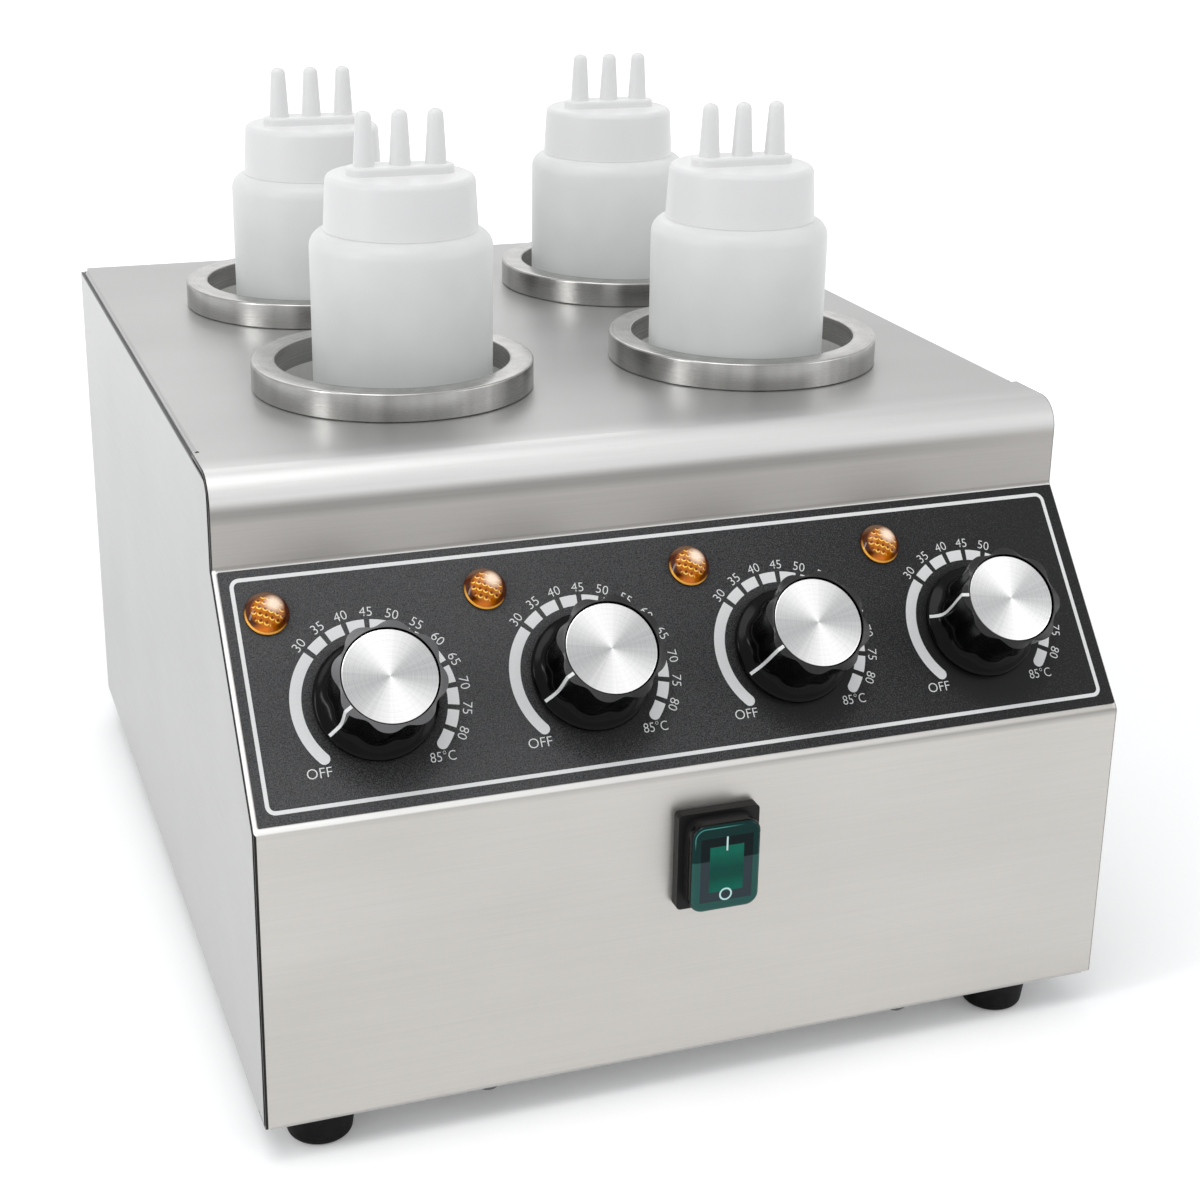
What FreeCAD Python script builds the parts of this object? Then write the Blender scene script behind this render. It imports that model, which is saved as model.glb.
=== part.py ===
"""Warmer for four squeeze bottles of sauce: bent steel casing, heated wells, dials and bottles.

All lengths are millimetres. The casing is drawn with x = 0 on its middle plane, y = 0 on its
lower front and z = 0 on its underside, and every piece is moved to the part's own frame as it
is written: origin under the middle of the whole, at the bottom of the feet, front towards -Y.
"""
import FreeCAD
import Part
import math
import os

V = FreeCAD.Vector

# Casing
casing_width = 300.0
casing_depth = 365.0
casing_height = 200.0
sheet = 1.0
fascia_height = 30.0
panel_rise = 65.0
panel_tilt_deg = 40.0
deck_bend_radius = 10.0
chin_bend_radius = 3.0
kink_bend_radius = 2.0
edge_bend_radius = 1.6
rear_flange_height = 14.0
bottom_flange_depth = 10.0
deck_flange_depth = 12.0
deck_flange_gap = 0.1
deck_notch_y = 82.0
deck_notch_width = 2.0
flange_screw_inset = 7.0
tab_screw_inset = 5.5
seam_gap = 0.4
wrap_inset = 0.2
tab_depth = 8.0
tab_relief = 5.0
base_inset = 2.0
vent_length = 36.0
vent_width = 5.0
vent_pitch = 14.0
vent_rows = 6
vent_column_offset = 62.0

# Printed panel overlay
overlay_thickness = 0.5
overlay_margin_side = 1.8
overlay_margin_low = 2.0
overlay_margin_high = 1.0
overlay_corner = 2.0

# Screws
screw_head_radius = 4.0
screw_head_height = 2.4
screw_shank_radius = 1.95
screw_shank_length = 7.0
screw_hole_clearance = 0.2
screw_recess_radius = 1.1
screw_recess_depth = 1.2

# Feet
foot_height = 12.0
foot_top_radius = 12.0
foot_bottom_radius = 10.5
foot_edge_round = 2.5
foot_recess_radius = 5.0
foot_recess_depth = 6.0
foot_bore_radius = 2.3
foot_front_inset = 15.0
foot_rear_inset = 15.0
foot_left_inset = 20.5
foot_right_inset = 31.0
foot_nut_radius = 4.4
foot_nut_height = 3.2
foot_screw_out = 1.0

# Wells
well_pitch_share = 0.45
well_pitch_y = 133.0
well_front_y = 144.0
well_radius = 41.5
well_wall = 0.8
well_depth = 142.0
well_floor_round = 4.5
well_flange_radius = 47.5
well_hole_clearance = 0.3
collar_radius = 50.0
collar_height = 9.2
collar_top_round = 1.3
collar_bottom_chamfer = 0.7
collar_inner_round = 0.6

# Band heaters
band_thickness = 3.0
band_height = 56.0
band_above_floor = 8.0
band_split_deg = 20.0
band_ear_length = 12.0
band_ear_thickness = 2.0
band_post_radius = 4.0
band_post_height = 9.0
band_stud_radius = 2.0
band_stud_height = 7.0
band_post_deg = 32.0
band_screw_radius = 2.0
band_screw_head_radius = 3.5
band_screw_head_height = 2.6

# Dials
dial_end_room = 43.875
dial_above_chin = 36.6
dial_hole_radius = 5.0
dial_rest_degs = [59.0, 65.0, 65.0, 100.0]
shaft_radius = 3.0
shaft_running_gap = 0.05
shaft_fit_gap = 0.02
shaft_flat_depth = 1.4
shaft_flat_length = 12.0
shaft_out = 18.0
shaft_in = 12.0
shaft_collar_radius = 4.6
shaft_collar_height = 1.6
shaft_collar_gap = 0.3

# Knobs
knob_gap = 0.8
knob_skirt_radius = 20.0
knob_skirt_edge = 2.4
knob_skirt_round = 1.2
knob_waist_radius = 14.6
knob_waist_height = 8.5
knob_flare_height = 3.0
knob_top_radius = 17.5
knob_lobe_depth = 1.4
knob_lobe_count = 8
knob_lobe_height = 25.2
knob_height = 26.4
knob_rim_radius = 15.4
knob_recess_radius = 15.05
knob_recess_depth = 0.7
knob_hollow_radius = 12.0
knob_hollow_height = 19.0
knob_wall = 2.2
knob_hub_radius = 6.0
knob_bore_depth = 17.5
disc_radius = 14.8
disc_thickness = 1.1
disc_edge_chamfer = 0.3

# Thermostats
thermostat_plate_width = 36.0
thermostat_plate_length = 30.0
thermostat_plate_thickness = 1.5
thermostat_width = 30.0
thermostat_length = 28.0
thermostat_depth = 20.0
thermostat_edge_round = 1.5
thermostat_screw_spacing = 28.0
thermostat_bushing_radius = 4.7
thermostat_blade_width = 6.3
thermostat_blade_thickness = 0.8
thermostat_blade_length = 8.0
countersunk_head_radius = 3.7
countersunk_length = 6.0
capillary_radius = 1.0
capillary_bend_radius = 8.0
capillary_aisle_inset = 21.0
bulb_radius = 2.5
bulb_length = 44.0
bulb_below_deck = 8.0
bulb_entry = 18.0
bulb_wall_gap = 0.1

# Pilot lamps
lamp_from_dial = 28.95
lamp_above_chin = 68.6
lamp_lens_radius = 7.05
lamp_lens_rim = 1.0
lamp_lens_height = 4.6
lamp_stem_radius = 5.2
lamp_stem_length = 9.0
lamp_sleeve_radius = 5.9
lamp_sleeve_length = 24.0
lamp_fit_gap = 0.1
lamp_nut_radius = 8.5
lamp_nut_height = 3.0
lamp_pin_radius = 0.7
lamp_pin_length = 7.0
lamp_pin_spacing = 5.0

# Power switch
switch_below_chin = 30.2
switch_flange_width = 28.2
switch_flange_length = 34.0
switch_flange_thickness = 4.0
switch_flange_corner = 1.5
switch_step_width = 24.0
switch_step_length = 31.0
switch_step_corner = 4.5
switch_step_height = 3.5
switch_body_width = 21.6
switch_body_length = 28.0
switch_body_depth = 24.0
switch_cutout_gap = 0.3
switch_out = 11.0
switch_blade_spacing_x = 10.0
switch_blade_spacing_z = 14.0
switch_pocket_depth = 12.0
switch_pocket_length = 24.0
rocker_width = 18.4
rocker_length = 24.4
rocker_gap = 0.4
rocker_centre_height = 5.2
rocker_tip_rise = 1.6
rocker_pivot_height = 1.7
rocker_hub_radius = 4.2
rocker_pin_radius = 1.5
rocker_pin_gap = 0.05
rocker_pin_length = 2.2
rocker_thickness = 2.8
rocker_throw_deg = 14.0
cover_wall = 0.8
cover_edge_round = 1.6

# Cable gland and terminal block
gland_from_side = 45.0
gland_z = 42.0
gland_bore_radius = 4.0
gland_thread_radius = 7.5
gland_hole_gap = 0.2
gland_flange_radius = 11.0
gland_flange_thickness = 4.0
gland_dome_radius = 10.0
gland_dome_length = 15.0
gland_dome_round = 4.0
gland_thread_length = 11.0
gland_nut_radius = 11.5
gland_nut_thickness = 4.0
block_from_side = 90.0
block_from_rear = 60.0
block_poles = 4
block_pole_pitch = 11.0
block_length = 22.0
block_height = 17.0
block_step = 5.0
block_edge_round = 1.0
block_screw_radius = 2.4
block_screw_depth = 7.0
block_wire_radius = 2.0

# Bottles
bottle_front_left_x = 5.3
bottle_front_left_y = 6.0
bottle_front_right_x = -5.3
bottle_front_right_y = -6.0
bottle_rear_left_x = 0.7
bottle_rear_left_y = -8.0
bottle_rear_right_x = -2.8
bottle_rear_right_y = 7.5
bottle_radius = 32.4
bottle_base_radius = 31.6
bottle_wall = 1.2
bottle_body_height = 196.5
bottle_base_round = 4.0
bottle_shoulder_round = 6.0
bottle_neck_radius = 24.4
bottle_neck_height = 15.5
bottle_thread_pitch = 4.0
bottle_thread_rise = 0.45
bottle_thread_turns = 3

# Bottle caps
cap_gap = 0.6
cap_bottom_radius = 27.3
cap_top_radius = 26.2
cap_height = 19.2
cap_top_round = 2.2
cap_fit_gap = 0.35
cap_top_thickness = 2.0
cap_pad_width = 13.0
cap_pad_height = 3.0
cap_pad_round = 1.0
nozzle_pitch = 12.9
nozzle_base_radius = 3.9
nozzle_tip_radius = 2.7
nozzle_length = 19.0
nozzle_wall = 1.3
nozzle_outlet_radius = 0.8

# Cuts run this far past the faces that they open
overrun = 1.0

# Places worked out from the sizes above
lower_front_height = casing_height - fascia_height - panel_rise
panel_setback = panel_rise * math.tan(math.radians(panel_tilt_deg))
panel_run = panel_rise / math.cos(math.radians(panel_tilt_deg))
deck_top = casing_height
wall_bottom = sheet
inner_half = casing_width / 2 - sheet
wrap_half = casing_width / 2 - wrap_inset
back_half = inner_half - seam_gap
deck_flange_x = inner_half - deck_flange_gap
deck_edge_x = deck_flange_x - edge_bend_radius
gland_out = gland_flange_thickness + gland_dome_length - sheet
frame_shift = V(0, (switch_out - casing_depth - gland_out) / 2, foot_height)
bottle_floor_z = casing_height - well_depth
well_floor_z = bottle_floor_z - well_wall
well_pitch_x = casing_width * well_pitch_share
collar_low_z = deck_top + well_wall
band_low_z = bottle_floor_z + band_above_floor
bulb_low_z = deck_top - bulb_below_deck - bulb_length
dial_pitch = (casing_width - 2 * dial_end_room) / 3
switch_height = lower_front_height - switch_below_chin
gland_x = casing_width / 2 - gland_from_side
block_x = casing_width / 2 - block_from_side
well_names = ["front_left", "front_right", "rear_left", "rear_right"]
dial_names = ["1", "2", "3", "4"]
dial_wells = ["rear_left", "front_left", "front_right", "rear_right"]
bottle_offsets = {
    "front_left": V(bottle_front_left_x, bottle_front_left_y, 0),
    "front_right": V(bottle_front_right_x, bottle_front_right_y, 0),
    "rear_left": V(bottle_rear_left_x, bottle_rear_left_y, 0),
    "rear_right": V(bottle_rear_right_x, bottle_rear_right_y, 0),
}


def well_centre(name):
    """Middle of one well at the deck, by its name."""
    side = -1 if name.endswith("left") else 1
    row = 0 if name.startswith("front") else 1
    return V(side * well_pitch_x / 2, well_front_y + row * well_pitch_y, 0)


def bottle_centre(name):
    """Middle of one bottle, which stands a little off the middle of its well."""
    return well_centre(name) + bottle_offsets[name] + V(0, 0, bottle_floor_z)


def dial_x(index):
    """Place of one dial across the panel, counted from the left."""
    return (index - (len(dial_names) - 1) / 2) * dial_pitch


def on_panel(x, above_chin):
    """Placement on the sloped panel's outer face: local Z points out of it, local Y up it."""
    tilt = math.radians(panel_tilt_deg)
    base = V(x, above_chin * math.sin(tilt), lower_front_height + above_chin * math.cos(tilt))
    return FreeCAD.Placement(base, FreeCAD.Rotation(V(1, 0, 0), 90 - panel_tilt_deg))


def on_front(x, z):
    """Placement on the lower front's outer face: local Z points out of it, local Y up."""
    return FreeCAD.Placement(V(x, 0, z), FreeCAD.Rotation(V(1, 0, 0), 90))


def on_rear(x, y, z):
    """Placement on a face that looks backwards: local Z points out of it, local Y up."""
    return FreeCAD.Placement(V(x, y, z), FreeCAD.Rotation(V(0, 1, 1), 180))


def from_below(x, y, z):
    """Placement on a face that looks down: local Z points down."""
    return FreeCAD.Placement(V(x, y, z), FreeCAD.Rotation(V(1, 0, 0), 180))


def placed(shape, placement):
    """A copy of a shape, moved from its own frame to a placement."""
    moved = shape.copy()
    moved.transformShape(placement.toMatrix())
    return moved


def cylinder(radius, low, high, x=0.0, y=0.0):
    """An upright cylinder between two heights."""
    return Part.makeCylinder(radius, high - low, V(x, y, low))


def block(low, high):
    """A box between two corners."""
    size = high - low
    return Part.makeBox(size.x, size.y, size.z, low)


def rounded_path(points, radii, closed=False):
    """Straight runs through points, joined by tangent arcs of the given radii."""
    count = len(points)
    entries = list(points)
    exits = list(points)
    arcs = {}
    for i in range(count):
        if not closed and i in (0, count - 1):
            continue
        if radii[i] <= 0:
            continue
        into = (points[i] - points[i - 1]).normalize()
        out = (points[(i + 1) % count] - points[i]).normalize()
        half_turn = into.getAngle(out) / 2
        reach = radii[i] * math.tan(half_turn)
        entries[i] = points[i] - into * reach
        exits[i] = points[i] + out * reach
        inward = (out - into).normalize()
        middle = points[i] + inward * (radii[i] / math.cos(half_turn) - radii[i])
        arcs[i] = Part.Arc(entries[i], middle, exits[i]).toShape()
    edges = []
    for i in range(count):
        if i in arcs:
            edges.append(arcs[i])
        if i < count - 1 or closed:
            edges.append(Part.LineSegment(exits[i], entries[(i + 1) % count]).toShape())
    return edges


def face_of(points, radii):
    """A flat face inside a closed outline with rounded corners."""
    return Part.Face(Part.Wire(rounded_path(points, radii, closed=True)))


def revolved(outline, radii=None):
    """A solid turned about Z from an outline of (radius, height) points."""
    points = [V(r, 0, z) for r, z in outline]
    face = face_of(points, radii or [0] * len(points))
    return face.revolve(V(0, 0, 0), V(0, 0, 1), 360)


def rounded_slab(width, length, corner, low, high):
    """A slab with rounded corners, centred on Z, between two heights."""
    x = width / 2
    y = length / 2
    points = [V(-x, -y, low), V(x, -y, low), V(x, y, low), V(-x, y, low)]
    return face_of(points, [corner] * 4).extrude(V(0, 0, high - low))


def edges_at(shape, height):
    """The edges of a shape that lie flat at a height."""
    reach = sheet / 10
    return [edge for edge in shape.Edges if all(abs(v.Z - height) < reach for v in edge.Vertexes)]


def offset_corners(points, distance):
    """Corners of a path in the YZ plane, shifted to the left of its direction."""
    normals = []
    for a, b in zip(points, points[1:]):
        run = (b - a).normalize()
        normals.append(V(0, -run.z, run.y))
    shifted = [points[0] + normals[0] * distance]
    for i in range(1, len(points) - 1):
        mean = (normals[i - 1] + normals[i]).normalize()
        shifted.append(points[i] + mean * (distance / mean.dot(normals[i])))
    shifted.append(points[-1] + normals[-1] * distance)
    return shifted


def bent_sheet(points, radii, thickness, x_low, x_high):
    """Sheet metal bent along a path in the YZ plane, its thickness on the path's left."""
    outer = rounded_path(points, radii)
    inner_radii = []
    for i, radius in enumerate(radii):
        if radius <= 0:
            inner_radii.append(0)
            continue
        turn = (points[i] - points[i - 1]).cross(points[i + 1] - points[i]).x
        inner_radii.append(radius - thickness if turn > 0 else radius + thickness)
    inner_points = offset_corners(points, thickness)
    inner = rounded_path(inner_points, inner_radii)
    ends = [
        Part.LineSegment(points[0], inner_points[0]).toShape(),
        Part.LineSegment(points[-1], inner_points[-1]).toShape(),
    ]
    wire = Part.Wire(Part.__sortEdges__(outer + inner + ends))
    face = Part.Face(wire)
    face.translate(V(x_low, 0, 0))
    return face.extrude(V(x_high - x_low, 0, 0))


def tube(points, radius, bend_radius):
    """A solid round rod along straight runs and tangent arcs."""
    radii = [bend_radius] * len(points)
    path = Part.Wire(rounded_path(points, radii))
    start = (points[1] - points[0]).normalize()
    section = Part.Wire(Part.makeCircle(radius, points[0], start))
    return path.makePipeShell([section], True, False)


def hexagon(radius, low, high):
    """A hexagonal prism with its corners at a radius."""
    corners = []
    for i in range(7):
        angle = math.radians(60 * i)
        corners.append(V(radius * math.cos(angle), radius * math.sin(angle), low))
    return Part.Face(Part.makePolygon(corners)).extrude(V(0, 0, high - low))


def compound(solids):
    """Several separate solids as one node."""
    return Part.makeCompound(solids)


def casing_corners():
    """Corners of the casing's outline in the YZ plane, from the rear top to the front bottom."""
    return {
        "rear_top": V(0, casing_depth, deck_top),
        "brow": V(0, panel_setback, deck_top),
        "kink": V(0, panel_setback, deck_top - fascia_height),
        "chin": V(0, 0, lower_front_height),
        "front_bottom": V(0, 0, wall_bottom),
        "rear_bottom": V(0, casing_depth, wall_bottom),
    }


def pan_screw(length=screw_shank_length):
    """A pan head screw standing on a face: head outside, shank going in, cross recess."""
    head = revolved(
        [(0, 0), (screw_head_radius, 0), (screw_head_radius, screw_head_height), (0, screw_head_height)],
        [0, 0, screw_head_height * 0.6, 0],
    )
    shank = cylinder(screw_shank_radius, -length, 0)
    recess_low = screw_head_height - screw_recess_depth
    recess = cylinder(screw_recess_radius, recess_low, screw_head_height + overrun)
    return head.fuse(shank).cut(recess)


def screw_places():
    """Placements of the casing's screws: rear flanges, then the underside."""
    places = []
    rear_z = deck_top - rear_flange_height / 2
    for x_share in (-1, 0, 1):
        places.append(on_rear(x_share * casing_width / 3, casing_depth, rear_z))
    tab_x = casing_width / 2 - tab_screw_inset
    for side in (-1, 1):
        for z in (casing_height / 4, casing_height * 3 / 4 - rear_flange_height):
            places.append(on_rear(side * tab_x, casing_depth, z))
    for x_share in (-1, 1):
        places.append(from_below(x_share * casing_width / 4, flange_screw_inset, 0))
        rear_y = casing_depth - sheet - flange_screw_inset
        places.append(from_below(x_share * casing_width / 4, rear_y, 0))
    for side in (-1, 1):
        for y in (casing_depth / 4, casing_depth * 3 / 4):
            places.append(from_below(side * tab_x, y, 0))
    return places


def casing_screws():
    """All the casing's screws."""
    return compound([placed(pan_screw(), place) for place in screw_places()])


def screw_holes():
    """Cylinders that clear the casing's screws, for the sheets that they pass through."""
    hole = cylinder(screw_shank_radius + screw_hole_clearance, -screw_shank_length - overrun, overrun)
    return compound([placed(hole, place) for place in screw_places()])


def wrap_cover():
    """The bent sheet that makes the deck, brow, fascia, control panel and lower front."""
    corner = casing_corners()
    points = [
        corner["rear_top"] - V(0, 0, rear_flange_height),
        corner["rear_top"],
        corner["brow"],
        corner["kink"],
        corner["chin"],
        corner["front_bottom"],
        corner["front_bottom"] + V(0, bottom_flange_depth, 0),
    ]
    radii = [
        0,
        edge_bend_radius,
        deck_bend_radius,
        kink_bend_radius,
        chin_bend_radius,
        edge_bend_radius,
        0,
    ]
    cover = bent_sheet(points, radii, sheet, -wrap_half, wrap_half)
    trim = block(
        V(deck_edge_x, deck_notch_y, deck_top - rear_flange_height - overrun),
        V(wrap_half + overrun, casing_depth + overrun, deck_top + overrun),
    )
    cover = cover.cut([trim, trim.mirror(V(0, 0, 0), V(1, 0, 0))])
    flange = deck_side_flange()
    cover = cover.fuse([flange, flange.mirror(V(0, 0, 0), V(1, 0, 0))]).removeSplitter()
    cuts = [screw_holes()]
    for name in well_names:
        centre = well_centre(name)
        hole_radius = well_radius + well_wall + well_hole_clearance
        hole = cylinder(hole_radius, deck_top - sheet - overrun, deck_top + overrun)
        hole.translate(centre)
        cuts.append(hole)
    dial_hole = cylinder(dial_hole_radius, -sheet - overrun, overrun)
    lamp_hole = cylinder(lamp_sleeve_radius + lamp_fit_gap, -sheet - overrun, overrun)
    for index in range(len(dial_names)):
        cuts.append(placed(dial_hole, on_panel(dial_x(index), dial_above_chin)))
        cuts.append(placed(lamp_hole, on_panel(dial_x(index) - lamp_from_dial, lamp_above_chin)))
        for side in (-1, 1):
            place = on_panel(dial_x(index) + side * thermostat_screw_spacing / 2, dial_above_chin)
            cuts.append(placed(countersink(), place))
    gap = switch_cutout_gap
    window = rounded_slab(
        switch_body_width + 2 * gap, switch_body_length + 2 * gap, gap, -sheet - overrun, overrun
    )
    cuts.append(placed(window, on_front(0, switch_height)))
    return cover.cut(cuts)


def deck_side_flange():
    """The right side flange of the deck, bent down behind the notch to lie inside the side."""
    points = [
        V(0, deck_flange_x, deck_top - deck_flange_depth),
        V(0, deck_flange_x, deck_top),
        V(0, deck_edge_x - tab_depth, deck_top),
    ]
    length_low = deck_notch_y + deck_notch_width
    length_high = casing_depth - edge_bend_radius - tab_relief
    flange = bent_sheet(points, [0, edge_bend_radius, 0], sheet, -length_high, -length_low)
    flange.rotate(V(0, 0, 0), V(0, 0, 1), -90)
    return flange


def countersink():
    """The hole that a countersunk screw sits in, with its clearance."""
    gap = screw_hole_clearance
    cone = Part.makeCone(
        screw_shank_radius + gap, countersunk_head_radius + gap, sheet, V(0, 0, -sheet)
    )
    return cone.fuse(cylinder(screw_shank_radius + gap, -sheet - overrun, -sheet))


def side_panel(side):
    """A flat side under the wrap's edge, with tabs bent inwards along its straight edges."""
    corner = casing_corners()
    inset = sheet + seam_gap
    wrap_path = [corner[name] for name in ("rear_top", "brow", "kink", "chin", "front_bottom")]
    rear_top, brow, kink, chin, front_bottom = offset_corners(wrap_path, inset)
    front_low = front_bottom + V(0, 0, inset)
    step_in = corner["front_bottom"] + V(0, bottom_flange_depth + seam_gap, inset)
    step_down = step_in - V(0, 0, inset)
    rear_bottom = corner["rear_bottom"]
    outline = [front_low, chin, kink, brow, rear_top, rear_bottom, step_down, step_in]
    outline_radii = [
        0,
        chin_bend_radius - inset,
        kink_bend_radius + inset,
        deck_bend_radius - inset,
        edge_bend_radius,
        edge_bend_radius,
        0,
        0,
    ]
    plate = face_of(outline, outline_radii)
    plate.translate(V(inner_half, 0, 0))
    solids = [plate.extrude(V(sheet, 0, 0))]
    lamp_relief = panel_run - lamp_above_chin + lamp_nut_radius + tab_relief
    edges = [
        (front_low, chin, tab_relief),
        (chin, kink, lamp_relief),
        (kink, brow, deck_bend_radius + tab_relief),
        (rear_top - V(0, 0, rear_flange_height), rear_bottom, tab_relief),
        (rear_bottom, step_down, tab_relief),
    ]
    for low, high, end_relief in edges:
        run = (high - low).normalize()
        solids.append(tab_between(low + run * tab_relief, high - run * end_relief, V(0, run.z, -run.y)))
    panel = solids[0].fuse(solids[1:]).removeSplitter()
    if side < 0:
        panel = panel.mirror(V(0, 0, 0), V(1, 0, 0))
    return panel.cut(screw_holes())


def tab_between(low, high, inward):
    """One bent tab of a side panel: its outer face runs between two points."""
    corners = [low, high, high + inward * sheet, low + inward * sheet]
    face = Part.Face(Part.makePolygon(corners + [low]))
    face.translate(V(inner_half - tab_depth, 0, 0))
    return face.extrude(V(tab_depth + sheet / 2, 0, 0))


def back_panel():
    """The plate behind the wells, with a foot flange, held by screws through the tabs."""
    face_y = casing_depth - sheet
    top = V(0, face_y, deck_top - sheet - seam_gap)
    bottom = V(0, face_y, wall_bottom)
    points = [bottom - V(0, bottom_flange_depth, 0), bottom, top]
    plate = bent_sheet(points, [0, edge_bend_radius, 0], sheet, -back_half, back_half)
    notch_x = inner_half - tab_depth - seam_gap
    low = V(notch_x, face_y - bottom_flange_depth - overrun, wall_bottom - overrun)
    high = V(inner_half + overrun, face_y + overrun, wall_bottom + sheet + edge_bend_radius)
    notch = block(low, high)
    gland_hole = cylinder(gland_thread_radius + gland_hole_gap, -sheet - overrun, overrun)
    cuts = [
        notch,
        notch.mirror(V(0, 0, 0), V(1, 0, 0)),
        placed(gland_hole, on_rear(gland_x, face_y, gland_z)),
        screw_holes(),
    ]
    return plate.cut(cuts)


def base_plate():
    """The flat bottom with two columns of vent slots, holding the feet."""
    low = V(-casing_width / 2 + base_inset, base_inset, 0)
    high = V(casing_width / 2 - base_inset, casing_depth - base_inset, sheet)
    plate = block(low, high)
    cuts = [screw_holes()]
    middle_y = casing_depth / 2
    for side in (-1, 1):
        for row in range(vent_rows):
            y = middle_y + (row - (vent_rows - 1) / 2) * vent_pitch
            slot = rounded_slab(vent_length, vent_width, vent_width / 2 * 0.98, -overrun, sheet + overrun)
            slot.translate(V(side * vent_column_offset, y, 0))
            cuts.append(slot)
    for centre in foot_centres().values():
        cuts.append(cylinder(foot_bore_radius, -overrun, sheet + overrun, centre.x, centre.y))
    return plate.cut(cuts)


def panel_overlay():
    """The printed sheet on the control panel, with holes for shafts and lamps."""
    width = casing_width - 2 * overlay_margin_side
    length = panel_run - overlay_margin_low - overlay_margin_high
    slab = rounded_slab(width, length, overlay_corner, 0, overlay_thickness)
    middle = overlay_margin_low + length / 2
    overlay = placed(slab, on_panel(0, middle))
    cuts = []
    dial_hole = cylinder(dial_hole_radius, -overrun, overlay_thickness + overrun)
    lamp_hole = cylinder(lamp_sleeve_radius + lamp_fit_gap, -overrun, overlay_thickness + overrun)
    for index in range(len(dial_names)):
        cuts.append(placed(dial_hole, on_panel(dial_x(index), dial_above_chin)))
        cuts.append(placed(lamp_hole, on_panel(dial_x(index) - lamp_from_dial, lamp_above_chin)))
    return overlay.cut(cuts)


def foot_centres():
    """Where the feet stand: the right pair is set in further than the left pair."""
    left_x = -casing_width / 2 + foot_left_inset
    right_x = casing_width / 2 - foot_right_inset
    rear_y = casing_depth - foot_rear_inset
    return {
        "front_left": V(left_x, foot_front_inset, 0),
        "front_right": V(right_x, foot_front_inset, 0),
        "rear_left": V(left_x, rear_y, 0),
        "rear_right": V(right_x, rear_y, 0),
    }


def rubber_foot(centre):
    """A tapered rubber foot with a rounded bottom edge and a recess for its screw."""
    body = revolved(
        [
            (foot_bore_radius, 0),
            (foot_top_radius, 0),
            (foot_bottom_radius, -foot_height),
            (foot_recess_radius, -foot_height),
            (foot_recess_radius, foot_recess_depth - foot_height),
            (foot_bore_radius, foot_recess_depth - foot_height),
        ],
        [0, 0, foot_edge_round, 0, 0, 0],
    )
    body.translate(centre)
    return body


def foot_screws():
    """The screw and nut that hold each foot on the bottom plate."""
    solids = []
    head_z = foot_recess_depth - foot_height
    length = foot_height - foot_recess_depth + sheet + foot_nut_height + foot_screw_out
    for centre in foot_centres().values():
        place = from_below(centre.x, centre.y, head_z)
        solids.append(placed(pan_screw(length), place))
        nut = hexagon(foot_nut_radius, sheet, sheet + foot_nut_height)
        nut = nut.cut(cylinder(screw_shank_radius, 0, sheet + foot_nut_height + overrun))
        nut.translate(centre)
        solids.append(nut)
    return compound(solids)


def well_collar(name):
    """The thick turned ring round one well, standing on the cup's flange."""
    low = collar_low_z
    top = low + collar_height
    ring = revolved(
        [
            (well_radius, low),
            (collar_radius - collar_bottom_chamfer, low),
            (collar_radius, low + collar_bottom_chamfer),
            (collar_radius, top),
            (well_radius, top),
        ],
        [0, 0, 0, collar_top_round, collar_inner_round],
    )
    ring.translate(well_centre(name))
    return ring


def well_cup(name):
    """The drawn cup that holds one bottle, hung in the deck by its flange."""
    outer = well_radius + well_wall
    flange_top = collar_low_z
    cup = revolved(
        [
            (0, well_floor_z),
            (outer, well_floor_z),
            (outer, deck_top),
            (well_flange_radius, deck_top),
            (well_flange_radius, flange_top),
            (well_radius, flange_top),
            (well_radius, bottle_floor_z),
            (0, bottle_floor_z),
        ],
        [0, well_floor_round + well_wall, 0, 0, 0, 0, well_floor_round, 0],
    )
    cup.translate(well_centre(name))
    return cup


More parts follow.
